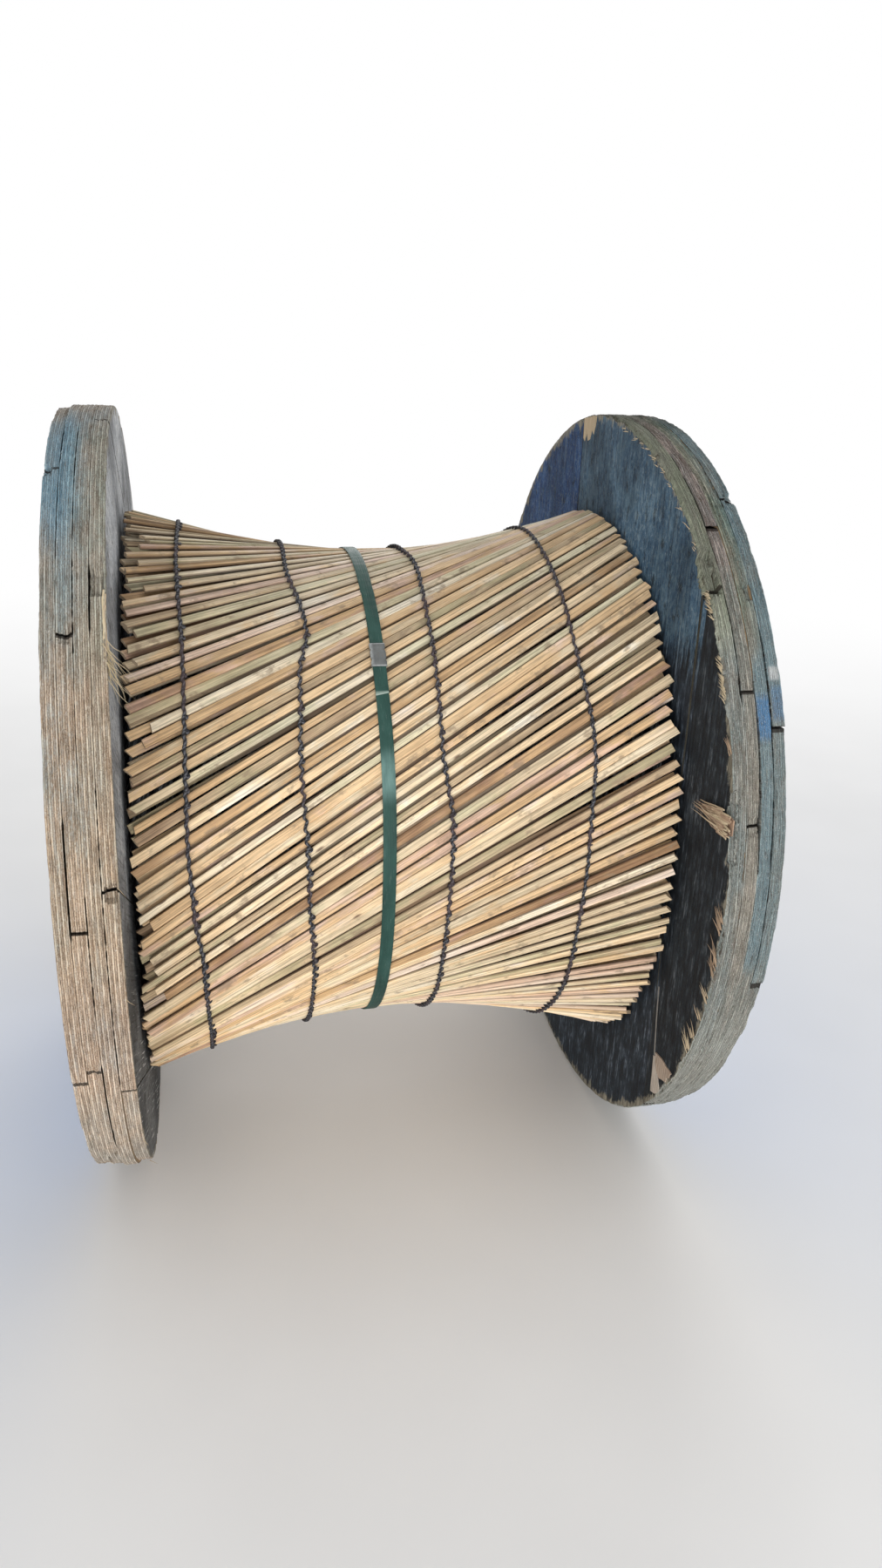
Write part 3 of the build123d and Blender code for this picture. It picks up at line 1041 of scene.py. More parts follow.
def add_column(build, layer, angle, joint):
    """One column of rim points, from the layer's inward side to its outward side."""
    rows = 2 * PLIES
    inner, outer = EDGE_SHARE, 1 - EDGE_SHARE
    places = [(inner, *spot) for spot in rim_corner(layer, angle, layer.number - 1, inner, 1)]
    for row in range(1, rows):
        share = row / rows
        places.append((share, share * PLY, rim_radius(layer, angle, share), 0.0))
    last = rim_corner(layer, angle, layer.number, outer, -1)
    places += [(outer, *spot) for spot in reversed(last)]
    column = []
    for share, across, radius, deep in places:
        x = layer.sign * (layer.inner_x + across)
        values = rim_values(layer, angle, share)
        values["deep"] = JOINT_SHADE if joint else deep
        arc = math.radians(angle) * RIM
        column.append(build.point(around(x, angle, radius), (arc, x), **values))
    return column


def flange_layer(layer, rim, inward, outward):
    """The visual mesh of a layer: each board a closed body with a worn rim."""
    build = Builder()
    caps = []
    shrink = math.degrees(SEAM_GAP / RIM)
    for low, high in layer.boards():
        loop = []
        for start, end in layer.arcs(low, high):
            shadow = JOINT_EDGE + SHADOW_REACH * set_back(layer, start + shrink + 0.5)
            front = 90 < start % 360 < 265
            first, last = (shadow, JOINT_EDGE) if front else (JOINT_EDGE, shadow)
            angles = rim_columns(start + shrink, end - shrink, first, last)
            ends = (0, 1, len(angles) - 2, len(angles) - 1)
            loop += [add_column(build, layer, angle, step in ends)
                     for step, angle in enumerate(angles)]
        rows = list(zip(*loop))
        build.strip(rows, closed=True)
        caps.append((rows[0], rows[-1], low < 0 < high))
    obj = build.mesh(layer.node + "_boards", [rim, inward, outward], 32)
    close_faces(obj, layer, caps)
    return obj


def bore_ring(bm, x):
    """New vertices round the spindle hole at x."""
    return [bm.verts.new(around(x, 360 * step / BORE_SIDES, BORE)) for step in range(BORE_SIDES)]


def fill_side(bm, outlines, slot, toward):
    """Fills the area between closed outlines with faces that look along X, toward -1 or 1."""
    edges = [bm.edges.new((ring[i - 1], ring[i])) for ring in outlines for i in range(len(ring))]
    made = bmesh.ops.triangle_fill(bm, edges=edges, use_beauty=True)
    for item in made["geom"]:
        if isinstance(item, bmesh.types.BMFace):
            item.material_index = slot
            item.normal_update()
            if item.normal.x * toward < 0:
                item.normal_flip()


def close_faces(obj, layer, caps):
    """Fills both sides of every board, and lines the spindle hole."""
    bm = bmesh.new()
    bm.from_mesh(obj.data)
    corners = [tuple(vert.co) for vert in obj.data.vertices]
    for inner_ids, outer_ids, has_bore in caps:
        bore = []
        for slot, ids, share in ((1, inner_ids, 0.0), (2, outer_ids, PLY)):
            outlines = [[bm.verts.new(corners[index]) for index in ids]]
            if has_bore:
                bore.append(bore_ring(bm, layer.sign * (layer.inner_x + share)))
                outlines.append(bore[-1])
            fill_side(bm, outlines, slot, -layer.sign if slot == 1 else layer.sign)
        if has_bore:
            first, second = bore
            for i in range(BORE_SIDES):
                j = (i + 1) % BORE_SIDES
                bm.faces.new((first[i], first[j], second[j], second[i]))
    map_faces(bm, layer)
    bm.to_mesh(obj.data)
    bm.free()


def map_faces(bm, layer):
    """Map coordinates of the filled sides, along and across the layer's grain."""
    uv = bm.loops.layers.uv.active
    lean = math.radians(layer.lean)
    for face in bm.faces:
        if face.material_index == 0:
            continue
        for loop in face.loops:
            y, z = loop.vert.co.y, loop.vert.co.z - AXIS_Z
            along = y * math.cos(lean) + z * math.sin(lean)
            across = -y * math.sin(lean) + z * math.cos(lean)
            loop[uv].uv = (across + layer.seed, along + layer.seed * 0.37)


# Splinters and fibres

SLIVER_SECTION = ((1, 0), (0.35, 1), (-0.35, 1), (-1, 0), (-0.35, -1), (0.35, -1))

# Fans of splinters at the right inner edge: angles, radius, count, length, width, lean inwards,
# how pale, spread of the angle
FANS = [
    ((97, 101, 104, 107, 110, 113, 117, 121, 125, 128), 0.492, 3, 0.010, 0.0016, 0.25, 0.85, 1.0),
    ((136.6, 137.8, 139.0, 145.8, 147.0, 148.4, 149.8), 0.4925, 16, 0.011, 0.0011, 0.75, 0.95, 0.9),
    ((157,), 0.495, 9, 0.020, 0.0028, 0.2, 0.2, 1.0),
    ((180, 181, 185.5, 187.5), 0.493, 7, 0.027, 0.0036, 0.55, 0.22, 0.8),
    ((192, 196.5, 200), 0.493, 6, 0.020, 0.0026, 0.95, 0.60, 0.6),
    ((203,), 0.494, 11, 0.027, 0.0020, 1.05, 0.75, 0.8),
]

# Torn flakes on the right inner face: thickness, how pale, aged and how much painted shade, outline
# in Y and Z
FLAKES = [
    (0.0012, 0.0, 0.0, 0.0, (
        (-0.410, 0.6125), (-0.424, 0.6165), (-0.438, 0.6185), (-0.452, 0.6225), (-0.466, 0.6245),
        (-0.478, 0.6275), (-0.4865, 0.6265), (-0.4870, 0.6085), (-0.478, 0.6045),
        (-0.466, 0.6050), (-0.452, 0.6070), (-0.438, 0.6085), (-0.424, 0.6095))),
    (0.0016, 0.10, 0.35, 0.0, (
        (-0.3722, 0.2450), (-0.3850, 0.2478), (-0.3944, 0.2490), (-0.4063, 0.2476),
        (-0.4150, 0.2485), (-0.4225, 0.2480), (-0.4185, 0.2430), (-0.4178, 0.2378),
        (-0.4120, 0.2345), (-0.4100, 0.2262), (-0.4000, 0.2230), (-0.3914, 0.2187),
        (-0.3812, 0.2229), (-0.3752, 0.2336))),
    (0.0008, 0.25, 0.75, 0.0, (
        (-0.3660, 0.2360), (-0.3672, 0.2230), (-0.3684, 0.2067), (-0.3690, 0.1920),
        (-0.3700, 0.1830), (-0.3760, 0.1850), (-0.3830, 0.1880), (-0.3900, 0.1945),
        (-0.3950, 0.2010), (-0.3905, 0.2090), (-0.3850, 0.2180), (-0.3775, 0.2290),
        (-0.3712, 0.2385))),
    (0.0005, 0.0, 0.95, 0.62, (
        (-0.3545, 0.3340), (-0.3572, 0.3345), (-0.3612, 0.2950), (-0.3655, 0.2620),
        (-0.3700, 0.2390), (-0.3664, 0.2365), (-0.3630, 0.2630), (-0.3585, 0.2960))),
    (0.0005, 0.65, 0.0, 0.0, (
        (0.109, 0.9865), (0.097, 0.9885), (0.0835, 0.9905), (0.071, 0.9935), (0.058, 0.9940),
        (0.060, 0.9810), (0.066, 0.9690), (0.074, 0.9740), (0.079, 0.9610), (0.088, 0.9580),
        (0.094, 0.9680), (0.101, 0.9560), (0.1075, 0.9600))),
]


def sliver(build, points, width, thick, straw=0.0, flat=(1, 0, 0)):
    """A torn fibre or splinter: a tapered, slightly bent strip through some points."""
    points = [Vector(place) for place in points]
    last = len(points) - 1
    rings = []
    length = 0.0
    for step, place in enumerate(points):
        if step:
            length += (place - points[step - 1]).length
        along = (points[min(step + 1, last)] - points[max(step - 1, 0)]).normalized()
        side = along.cross(Vector(flat)).normalized()
        lift = side.cross(along).normalized()
        taper = 1 - 0.93 * (step / last) ** 1.4
        rings.append([
            build.point(place + side * a * width / 2 * taper + lift * b * thick / 2 * taper,
                        (length, a * width / 2), straw=straw)
            for a, b in SLIVER_SECTION])
    build.solid(rings)


def bent_path(start, direction, length, bend, chance, steps=6):
    """Points of a fibre that leaves start and curls sideways."""
    points = []
    place = Vector(start)
    heading = Vector(direction).normalized()
    for _ in range(steps + 1):
        points.append(tuple(place))
        turn = Vector((chance.uniform(-1, 1), chance.uniform(-1, 1), chance.uniform(-1, 1)))
        heading = (heading + turn * bend).normalized()
        place = place + heading * length / steps
    return points


def right_fans(build):
    """Splinters along the right inner edge that point inwards and back along the rim."""
    chance = random.Random(77)
    for angles, radius, count, length, width, lean_in, straw, spread in FANS:
        for angle in angles:
            for _ in range(count):
                turn = angle + chance.uniform(-spread, spread)
                reach = radius + chance.uniform(-0.004, 0.003)
                out = around(0, turn, 1.0, 0.0)
                way = around(0, turn - 90, 1.0, 0.0) - out * lean_in
                way.x = -0.10 - 0.25 * chance.random()
                size = length * chance.uniform(0.5, 1.1)
                path = bent_path(around(FACE - 0.0002, turn, reach), way, size, 0.10, chance)
                path = [(min(x, FACE - 0.0004), y, z) for x, y, z in path]
                sliver(build, path, width * chance.uniform(0.5, 1.2), 0.0009, straw)


def right_flakes(build):
    """Flat flakes of veneer that stand on the right inner face."""
    for thick, straw, aged, painted_low_shade, outline in FLAKES:
        looks = dict(straw=straw, aged=aged, painted_low_shade=painted_low_shade)
        front, back = ([build.point((x, y, z), (z, y), **looks) for y, z in outline]
                       for x in (FACE - thick, FACE))
        build.face(front)
        build.strip([front, back], closed=True)


def right_tuft(build):
    """Fibres that run together to the tip of the big tear."""
    chance = random.Random(9)
    tip = Vector((FACE - 0.003, -0.392, 0.607))
    for _ in range(60):
        share = chance.random()
        base = Vector((FACE - 0.0022, -0.4865 + chance.uniform(0, 0.030), 0.601 + 0.030 * share))
        way = tip - base + Vector((0, 0, (share - 0.3) * 0.012))
        path = bent_path(base, way, way.length * chance.uniform(0.25, 1.0), 0.030, chance)
        path = [(min(x, FACE - 0.0016) - 0.003 * chance.random(), y, z) for x, y, z in path]
        width = chance.uniform(0.0014, 0.0042)
        sliver(build, path, width, 0.0010, chance.choice((0.0, 0.1, 0.4, 0.8)))


def left_tuft(build, chance):
    """Curled fibres at the left inner edge."""
    for _ in range(44):
        turn = 142.6 + chance.uniform(-2.0, 1.6)
        x = -FACE + 0.0002 - chance.uniform(0.0, 0.006)
        base = around(x, turn, 0.4975 + chance.uniform(-0.002, 0.002))
        way = Vector((0.25 + chance.uniform(-0.2, 0.6), -0.25 - 0.3 * chance.random(), -1.0))
        path = bent_path(base, way, chance.uniform(0.020, 0.052), 0.24, chance, 7)
        path = [(max(x, -FACE - 0.010), max(y, -0.4990), z) for x, y, z in path]
        sliver(build, path, 0.0013, 0.0008, 1.0)


def left_strips(build, chance):
    """Thin strips that lie along the left rim."""
    for number in range(9):
        size = chance.uniform(0.045, 0.095)
        first = 134.4 + chance.uniform(0.0, 2.2)
        inset = chance.uniform(0.0008, 0.0040)
        phase = chance.uniform(0, 6)
        radius = 0.4982 + 0.0003 * (number % 4)
        span = math.degrees(size / RIM)
        path = [around(-FACE - inset + 0.0008 * math.sin(step * 0.8 + phase),
                       first + span * step / 12, radius) for step in range(13)]
        sliver(build, path, 0.0016, 0.0012, chance.choice((0.5, 0.8, 1.0)), (0, 0, 1))


def left_fibres(build, chance):
    """A few lone fibres at the left rim."""
    for turn in (169.0, 183.0, 212.0, 226.0):
        base = around(-FACE - 0.001, turn, 0.4985)
        path = bent_path(base, (0.7, -0.2, -0.7), 0.012, 0.2, chance, 5)
        path = [(x, max(y, -0.4995), z) for x, y, z in path]
        sliver(build, path, 0.0014, 0.0007, 0.8)


def torn_pieces(material):
    """All splinters, flakes and fibres as one piece."""
    build = Builder()
    right_fans(build)
    right_flakes(build)
    right_tuft(build)
    chance = random.Random(5)
    for draw in (left_tuft, left_strips, left_fibres):
        draw(build, chance)
    return build.mesh("torn_wood", [material], 50)


# Mat of laths

def reach_at_end(centre_radius, end_radius):
    """How far a ruling has moved sideways where it meets the end radius."""
    return math.sqrt(end_radius ** 2 - centre_radius ** 2)


OUTER_REACH = reach_at_end(OUTER_LATH, END_RADIUS)


def lath_layer(name, centre_radius, end_radius, ragged, seed, material):
    """All laths of one turn: straight rulings with uneven ends, each with its own tone."""
    build = Builder()
    chance = random.Random(seed)
    look = random.Random(seed + 100)
    reach = reach_at_end(centre_radius, end_radius)
    for index in range(LATHS):
        gaps = [chance.uniform(0.004, 0.012) for _ in range(2)]
        if chance.random() < ragged:
            gaps[0] = chance.uniform(0.012, 0.034)
        shift = 0.0 if ragged else 0.5
        lath = Lath(360 * (index + shift) / LATHS, look, ragged > 0)
        draw_lath(build, lath, centre_radius, reach, gaps)
    return build.mesh(name, [material], 35)


class Lath:
    """One lath as chance makes it: colour, section, bend, twist and place."""

    def __init__(self, turn, look, outer):
        self.tone = min(1.0, max(0.0, look.gauss(0.62, 0.17)))
        if look.random() < DARK_LATHS:
            self.tone = look.uniform(0.18, 0.38)
        self.warm = look.random()
        self.width = LATH_WIDTH * look.choice(LATH_WIDTHS) * look.uniform(0.97, 1.03)
        if not outer:
            self.width = LATH_WIDTH * max(LATH_WIDTHS)
        self.thick = LATH_THICK * look.uniform(0.85, 1.0)
        self.twist = [SURFACE_TWIST, SURFACE_TWIST]
        if outer:
            self.twist = [SURFACE_TWIST * look.uniform(0.25, 0.85),
                          SURFACE_TWIST * look.uniform(0.30, 0.95)]
        self.bow = look.uniform(-0.0010, 0.0010)
        self.sway = [look.uniform(-0.0024, 0.0024) for _ in range(2)]
        self.slant = [look.uniform(-0.0022, 0.0022) for _ in range(2)]
        self.offset = look.uniform(0, 40)
        self.turn = math.radians(turn + look.uniform(-LATH_JITTER, LATH_JITTER) * outer)
        self.sunk = look.choice((0.0, 0.0004, 0.0008, 0.0012))

    def section(self):
        """Corners of its bevelled section: across, up, and 1 on its lower edges, which get painted
        shade.
        """
        half, deep, bevel = self.width / 2, self.thick / 2, LATH_BEVEL
        corners = [(half, deep - bevel), (half - bevel, deep), (0.0, deep + 0.0001),
                   (-half + bevel, deep), (-half, deep - bevel), (-half, -deep + bevel),
                   (-half + bevel, -deep), (half - bevel, -deep), (half, -deep + bevel)]
        return [(a, b, 1.0 if b < deep - bevel * 1.5 else 0.0) for a, b in corners]


def draw_lath(build, lath, centre_radius, reach, gaps):
    """A lath as a bevelled strip that twists a little towards its slanted ends."""
    outward = Vector((0, math.cos(lath.turn), math.sin(lath.turn)))
    sideways = Vector((0, math.sin(lath.turn), -math.cos(lath.turn)))
    along = (Vector((FACE, 0, 0)) + sideways * reach).normalized()
    over = along.cross(outward).normalized()
    middle = Vector((0, 0, MAT_Z)) + outward * (centre_radius - lath.sunk)
    section = lath.section()
    looks = dict(tone=lath.tone, warm=lath.warm)
    rings = []
    for step in range(LATH_STEPS + 1):
        run = -FACE + gaps[0] + (2 * FACE - gaps[0] - gaps[1]) * step / LATH_STEPS
        share = run / FACE
        side = 0 if share < 0 else 1
        place = middle + Vector((run, 0, 0)) + sideways * reach * share
        place += over * (lath.sway[side] * share * share + lath.bow * (1 - share * share))
        roll = math.copysign(lath.twist[side] * abs(share) ** 1.1, share)
        flat = over * math.cos(roll) + outward * math.sin(roll)
        up = outward * math.cos(roll) - over * math.sin(roll)
        cut = {0: lath.slant[0], LATH_STEPS: lath.slant[1]}.get(step, 0.0) / (lath.width / 2)
        ring = []
        for a, b, edge in section:
            spot = place + flat * a + up * b + along * (cut * a)
            uv = (run + lath.offset, a * 0.5 + b + lath.offset * 0.1)
            ring.append(build.point(spot, uv, edge=edge, cut=0.0, **looks))
        rings.append(ring)
    build.strip(rings, closed=True)
    for ring in (rings[0][::-1], rings[-1]):
        build.face([build.point(build.points[i], build.maps[i], edge=0.0, cut=1.0, **looks)
                    for i in ring])


def skin_radius(x):
    """Radius of the outer laths' outermost edges at x."""
    half = LATH_WIDTH / 2 * math.hypot(1, OUTER_REACH / FACE)
    return math.hypot(WAIST, abs(x) / FACE * OUTER_REACH + half)


# Twine: each row's place, how far its stitches zigzag, and its sway as (angle, shift)

TWINE_ROWS = (
    (-0.252, 0.0012, ((87, 0.001), (111, -0.003), (133, 0.000), (168, -0.004), (180, -0.001),
                      (193, 0.007), (220, 0.012))),
    (-0.118, 0.0034, ((90, -0.002), (104, -0.004), (126, 0.010), (136, -0.003), (152, -0.008),
                      (179, -0.003), (205, 0.005))),
    (0.045, 0.0028, ((86, -0.004), (100, 0.002), (121, -0.002), (151, -0.004), (169, 0.005),
                     (196, 0.003), (220, 0.006))),
    (0.213, 0.0014, ((83, 0.003), (107, -0.001), (131, -0.001), (154, 0.007), (173, -0.001),
                     (190, -0.004), (216, 0.000))),
)
FIRST_STRAND = 0.0021
STRAND = 0.00185
STITCH_PARTS = 8
STITCH_DIVE = 0.0062
STITCH_LIFT = 0.0013
TAIL_STEPS = 6
TAILS_MISSING = 0.45


def sway_at(keys, angle):
    """Sideways place of a twine row at an angle, between its known points."""
    turn = angle % 360
    if turn <= keys[0][0] or turn >= keys[-1][0]:
        span = 360 - keys[-1][0] + keys[0][0]
        share = ((turn - keys[-1][0]) % 360) / span
        start, end = keys[-1][1], keys[0][1]
        extra = 0.003 * wave(turn * 0.03, span) * math.sin(math.pi * share)
    else:
        for (low, start), (high, end) in zip(keys, keys[1:]):
            if low <= turn <= high:
                share = (turn - low) / (high - low)
                break
        extra = 0.0
    return start + (end - start) * smooth(0, 1, share) + extra


def tube(build, path, radius, sides=6, closed=False):
    """A round strand along a path, with map coordinates along and round it."""
    rings = []
    count = len(path)
    length = 0.0
    for step, here in enumerate(path):
        after = path[(step + 1) % count] if closed or step < count - 1 else here
        before = path[step - 1] if closed or step else here
        along = (after - before).normalized()
        radial = Vector((0, here.y, here.z - MAT_Z)).normalized()
        side = along.cross(radial).normalized()
        up = side.cross(along).normalized()
        size = radius * (1 + 0.16 * wave(step * 0.7, radius * 900))
        ring = []
        for part in range(sides):
            turn = 2 * math.pi * part / sides
            spot = here + side * math.cos(turn) * size + up * math.sin(turn) * size
            ring.append(build.point(spot, (length, turn * size)))
        rings.append(ring)
        length += (after - here).length
    if closed:
        build.strip([*rings, rings[0]], closed=True)
    else:
        build.solid(rings)


def lath_place(index, x):
    """Angle round the mat, in degrees, of an outer lath at x."""
    swing = math.degrees(math.atan2(x / FACE * OUTER_REACH, OUTER_LATH))
    return 360 * index / LATHS - swing


def stitch(index, x, keys):
    """Where a row passes a lath: x, angle and the radius of the laths there."""
    sway_x = x + sway_at(keys, lath_place(index, x))
    return sway_x, lath_place(index, sway_x), math.hypot(WAIST, sway_x / FACE * OUTER_REACH)


def twine_strand(which, x, keys, zigzag, strand, chance):
    """Path of one of the two strands that cross between the laths."""
    path = []
    for step in range(LATHS * STITCH_PARTS):
        index = step / STITCH_PARTS
        base_x, angle, surface = stitch(index, x, keys)
        phase = math.pi * (index + which)
        over = math.cos(phase)
        if over > 0:
            lift = STITCH_LIFT + 0.0002 * chance.uniform(-1, 1)
            radius = surface + strand + lift * over
        else:
            radius = surface + strand - STITCH_DIVE * abs(over)
        saw = (index % 1.0) - 0.5
        base_x -= zigzag * saw * smooth(0.5, 0.40, abs(saw))
        base_x += 0.0005 * math.sin(phase * 2)
        path.append(around(base_x, angle, radius, MAT_Z))
    return path


def twine_row(number, x, zigzag, keys, material):
    """Two strands that cross between the laths, with a small stitch and tail at each."""
    build = Builder()
    chance = random.Random(40 + number)
    strand = FIRST_STRAND if number == 1 else STRAND
    for which in range(2):
        path = twine_strand(which, x, keys, zigzag, strand, chance)
        tube(build, path, strand, closed=True)
    for index in range(LATHS):
        if chance.random() < TAILS_MISSING:
            continue
        base_x, angle, surface = stitch(index + 0.5, x, keys)
        size = chance.uniform(0.5, 1.35)
        path = []
        for step in range(TAIL_STEPS + 1):
            share = step / TAIL_STEPS
            spin = math.pi * 1.1 * share
            tail_x = base_x + 0.0030 * size * math.sin(spin) + 0.0012
            radius = surface + 0.0012 - 0.0030 * share
            path.append(around(tail_x, angle + 0.35 * math.cos(spin), radius, MAT_Z))
        tube(build, path, strand * 0.85)
    return build.mesh(f"twine_stitches_{number}", [material], 60)


# Strap and seal

STRAP_RADIUS = skin_radius(abs(STRAP_X) + STRAP_WIDTH / 2) + LATH_SEAT


def ribbon(build, angles, radius_at, width, thick, end_slant=0.0):
    """A flat band of plastic along some angles, slightly rounded at its edges."""
    half = width / 2
    section = ((-half, 0.0), (-half, thick * 0.8), (-half * 0.93, thick),
               (-half * 0.45, thick * 1.02), (0.0, thick), (half * 0.45, thick * 1.02),
               (half * 0.93, thick), (half, thick * 0.8), (half, 0.0), (0.0, 0.0))
    rings = []
    for step, angle in enumerate(angles):
        base = radius_at(angle)
        arc = math.radians(angle) * base
        cut = 1.0 if end_slant and step == len(angles) - 1 else 0.0
        ring = []
        for a, b in section:
            slip = math.degrees(cut * end_slant * a / half / base)
            x = STRAP_X + a + 0.0012 * wave(angle * 0.03, 3.0)
            spot = around(x, angle + slip, base + b, MAT_Z)
            ring.append(build.point(spot, (arc, a), pale=cut))
        rings.append(ring)
    build.solid(rings)


def strap_piece(material):
    """The band round the waist and its free end, which lies on the first turn."""
    build = Builder()

    def wavy(angle):
        laths = 0.00035 * math.cos(math.radians(angle) * LATHS)
        return STRAP_RADIUS - 0.0002 + laths + 0.0003 * wave(angle * 0.2)

    def lapped(angle):
        rise = STRAP_THICK + 0.0002
        return wavy(angle) + rise * smooth(LAP_START - 6, LAP_START + 1, angle) - 0.0001

    first = [LAP_START + step for step in range(353)]
    ribbon(build, first, wavy, STRAP_WIDTH, STRAP_THICK)
    count = int((LAP_END - LAP_START + LAP_BACK) / LAP_STEP) + 1
    second = [LAP_START - LAP_BACK + step * LAP_STEP for step in range(count)]
    ribbon(build, second, lapped, STRAP_WIDTH * 0.995, STRAP_THICK, -0.0015)
    return build.mesh("strap_band", [material], 50)


def seal_piece(material):
    """Folded steel seal with two pairs of crimps."""
    build = Builder()
    base = STRAP_RADIUS + 2 * STRAP_THICK + 0.0004
    half = STRAP_WIDTH / 2 + 0.0003
    thick = SEAL_THICK
    right_half = [(half * 0.6, thick), (half + thick * 0.4, thick), (half + thick, thick * 0.6),
                  (half + thick, -SEAL_LIP), (half, -SEAL_LIP), (half, 0.0)]
    left_half = [(-a, b) for a, b in right_half]
    profile = [*left_half[3::-1], (0.0, thick), *right_half, (0.0, 0.0), *left_half[:3:-1]]
    rings = []
    for step in range(SEAL_STEPS + 1):
        share = step / SEAL_STEPS
        angle = SEAL_START + (SEAL_END - SEAL_START) * share
        press = sum(math.exp(-((share - centre) / 0.045) ** 2) for centre in (0.28, 0.72))
        at_end = step < 2 or step > SEAL_STEPS - 3
        ring = []
        for a, b in profile:
            pinch = 1 - 0.10 * press * (abs(a) / half) ** 3
            dip = -0.0004 * press * smooth(0.3, 0.9, abs(a) / half)
            bulge = 0.0003 * math.sin(math.pi * share) if b > 0 else 0.0
            spot = around(STRAP_X + a * pinch, angle, base + b + dip + bulge, MAT_Z)
            rubbed = 1.0 if at_end or a < -half * 0.9 else 0.0
            ring.append(build.point(spot, (share * 0.032, a), rubbed=rubbed))
        rings.append(ring)
    build.solid(rings)
    return build.mesh("seal_cover", [material], 40)


# Washers and nuts: height above the face, radius, and whether the ring has six flats

WASHER = ((0.0, 0.0235, False), (0.0012, 0.0238, False), (0.0026, 0.0215, False),
          (0.0034, 0.017, False), (0.0038, 0.0125, False))
NUT = ((0.0036, 0.0120, False), (0.0040, 0.0132, True), (0.0142, 0.0132, True),
       (0.0156, 0.0122, True), (0.0162, 0.0095, False))


def fastener(build, x_sign, turn, spin):
    """A dished washer, a hexagonal nut and the thread end at one rod."""
    cy, cz = polar(turn, ROD_CIRCLE)
    start = FACE + LAYER_COUNT * PLY

    def ring_at(height, radius, flats=False):
        ring = []
        for part in range(ROD_SIDES):
            angle = 2 * math.pi * part / ROD_SIDES
            size = radius
            if flats:
                inside = (angle - spin) % (math.pi / 3) - math.pi / 6
                size = radius * math.cos(math.pi / 6) / math.cos(inside)
            place = (x_sign * (start + height), cy + size * math.cos(angle),
                     cz + size * math.sin(angle))
            ring.append(build.point(place, (angle * radius, height)))
        return ring

    for levels in (WASHER, NUT):
        build.solid([ring_at(*level) for level in levels])
    rings = []
    for level in range(THREAD_STEPS):
        height = min(THREAD_START + level * THREAD_STEP, ROD_OUT - 0.0006)
        rings.append(ring_at(height, ROD_RADIUS - THREAD_DEPTH * (level % 2)))
    rings.append(ring_at(ROD_OUT - 0.0002, ROD_RADIUS - 2 * THREAD_DEPTH))
    build.strip(rings, closed=True)
    build.face(rings[-1])


def fasteners(material):
    """Washers, nuts and thread ends of all rods, on both outer faces."""
    build = Builder()
    chance = random.Random(12)
    for x_sign in (-1, 1):
        for turn in ROD_TURNS:
            fastener(build, x_sign, turn, chance.uniform(0, 1))
    return build.mesh("rod_nuts_and_washers", [material], 35)


# Scene

def stage_pieces():
    """The floor, finer near the drum."""
    build = Builder()
    lines = (-FLOOR_END, -FLOOR_NEAR, 0.0, FLOOR_NEAR, FLOOR_END)
    rows = [[build.point((x, y, -FLOOR_DROP), (x, y)) for x in lines] for y in lines]
    build.strip(rows[::-1])
    floor = build.mesh("studio_floor", [floor_material()], 60)


def white_world():
    """White where the camera sees it, dimmer as a light."""
    world = bpy.data.worlds.new("studio_world")
    bpy.context.scene.world = world
    world.use_nodes = True
    nodes = Nodes(world.node_tree)
    background = world.node_tree.nodes["Background"]
    nodes.put(background.inputs["Strength"], nodes.seen().fade(0.0, 1.0, 0.55, 1.0))
    nodes.put(background.inputs["Color"], (1.0, 1.0, 1.0, 1.0))


def area_light(name, place, target, size, power):
    """A soft rectangular light that points at a target."""
    data = bpy.data.lights.new(name, "AREA")
    data.shape = "RECTANGLE"
    data.size, data.size_y = size
    data.energy = power
    lamp = add_object(name, data)
    lamp.location = place
    heading = Vector(target) - Vector(place)
    lamp.rotation_euler = heading.to_track_quat("-Z", "Y").to_euler()


def photo_camera():
    """The camera fitted to the photograph, 1012 by 1800 pixels."""
    focal_px, height_px, sensor = 1314.17, 1800, 36.0
    place = (-0.2401, -1.5143, 1.1282)
    yaw, pitch, roll = 0.2254, -0.3962, 0.0385
    forward = Vector((math.sin(yaw) * math.cos(pitch), math.cos(yaw) * math.cos(pitch),
                      math.sin(pitch)))
    right = Vector((math.cos(yaw), -math.sin(yaw), 0.0))
    up = right.cross(forward)
    right_rolled = right * math.cos(roll) + up * math.sin(roll)
    up_rolled = up * math.cos(roll) - right * math.sin(roll)
    data = bpy.data.cameras.new("photo_camera")
    data.sensor_width = sensor
    data.lens = sensor * focal_px / height_px
    camera = add_object("photo_camera", data)
    axes = Matrix((right_rolled, up_rolled, -forward)).transposed()
    camera.matrix_world = Matrix.Translation(place) @ axes.to_4x4()
    bpy.context.scene.camera = camera


def carried_over(node, material):
    """A CAD node that stays, with a better material."""
    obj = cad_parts[node]
    obj.data.materials.clear()
    obj.data.materials.append(material)


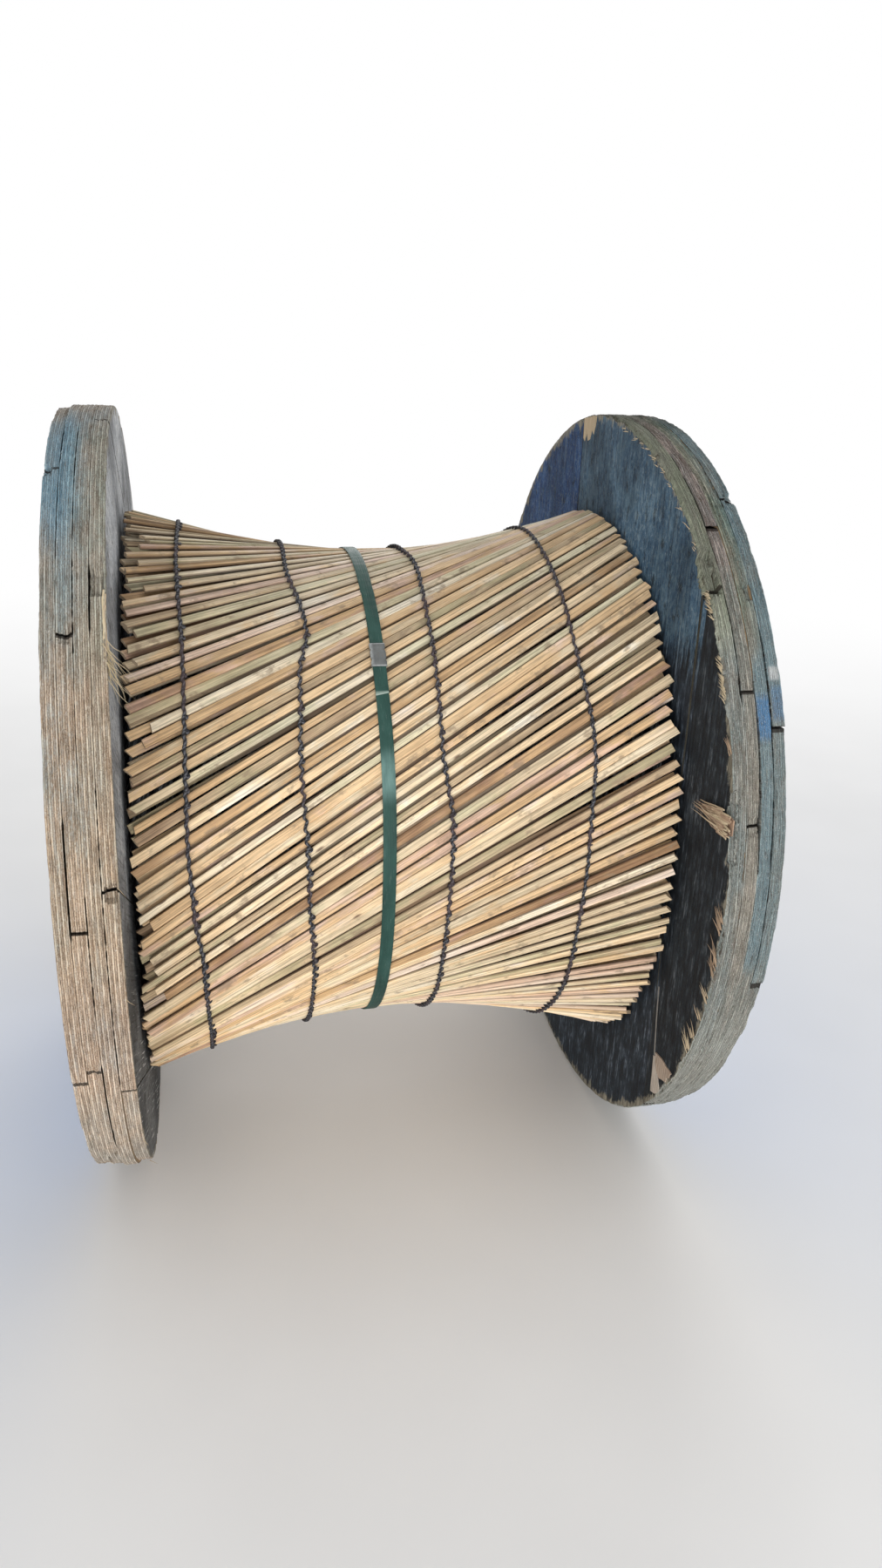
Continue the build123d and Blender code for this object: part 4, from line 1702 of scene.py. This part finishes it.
def build_flanges(hidden):
    """Both flanges and their torn wood."""
    left_rim = rim_material(
        "left",
        ((0.36, (0.21, 0.130, 0.080)), (0.49, (0.50, 0.375, 0.27)), (0.61, (0.74, 0.61, 0.48))),
        ((0.36, (0.13, 0.12, 0.102)), (0.49, (0.420, 0.400, 0.352)), (0.61, (0.64, 0.62, 0.565))),
        ((0.36, (0.075, 0.190, 0.270)), (0.50, (0.175, 0.345, 0.460)), (0.64, (0.34, 0.51, 0.60))))
    right_rim = rim_material(
        "right",
        ((0.36, (0.12, 0.10, 0.075)), (0.49, (0.31, 0.27, 0.215)), (0.61, (0.50, 0.45, 0.37))),
        ((0.36, (0.065, 0.075, 0.068)), (0.49, (0.185, 0.208, 0.190)), (0.61, (0.33, 0.358, 0.330))),
        ((0.36, (0.050, 0.115, 0.150)), (0.50, (0.105, 0.205, 0.255)), (0.64, (0.21, 0.335, 0.365))))
    navy = navy_face()
    grey = grey_face()
    blue = blue_face()
    for layer in LAYERS:
        rim, inner_face = (left_rim, grey) if layer.side == "left" else (right_rim, navy)
        inward = hidden if layer.number > 1 else inner_face
        outward = blue if layer.number == LAYER_COUNT else hidden
        finish_piece(flange_layer(layer, rim, inward, outward), "plywood", layer.node)
    finish_piece(torn_pieces(torn_material()), "plywood")


def build_mat():
    """Laths, twine, strap and seal."""
    outer = lath_material("outer_lath_wood", False)
    inner = lath_material("inner_lath_wood", True)
    finish_piece(lath_layer("outer_laths", OUTER_LATH, END_RADIUS, 0.3, 5, outer),
                 "lath_wood", "mat_outer_laths")
    finish_piece(lath_layer("inner_laths", INNER_LATH, END_RADIUS - END_DROP, 0, 9, inner),
                 "lath_wood", "mat_inner_laths")
    dark = twine_material()
    for number, (x, zigzag, keys) in enumerate(TWINE_ROWS, 1):
        row = twine_row(number, x, zigzag, keys, dark)
        finish_piece(row, "twine", f"twine_row_{number}")
    finish_piece(strap_piece(strap_material()), "strap_plastic", "strap")
    steel = metal_material("dull_seal_steel", (0.070, 0.074, 0.074), (0.145, 0.153, 0.150),
                           0.25, 0.5, 0.45, 0.65)
    finish_piece(seal_piece(steel), "seal_steel", "strap_seal")


def build_drum():
    """All pieces of the drum, and better materials for the hidden CAD nodes."""
    hidden = stave_material()
    build_flanges(hidden)
    build_mat()
    rods = metal_material("zinc_rod_steel", (0.24, 0.24, 0.23), (0.42, 0.41, 0.39),
                          0.6, 0.9, 0.35, 0.6)
    finish_piece(fasteners(rods), "steel")
    carried_over("tie_rods", rods)
    carried_over("barrel_staves", hidden)
    carried_over("wound_conductor", conductor_material())


photo_camera()
build_drum()
stage_pieces()
white_world()
area_light("top_light", (0.3, -0.4, 3.6), (0, 0, 0.5), (3.4, 3.0), 24)
area_light("front_light", (-0.6, -3.6, 0.62), (0, 0, 0.36), (3.4, 1.0), 99)
area_light("back_light", (0.8, 3.4, 2.0), (0, 0, 0.5), (2.6, 2.0), 55)
bpy.context.scene.view_settings.view_transform = "Standard"
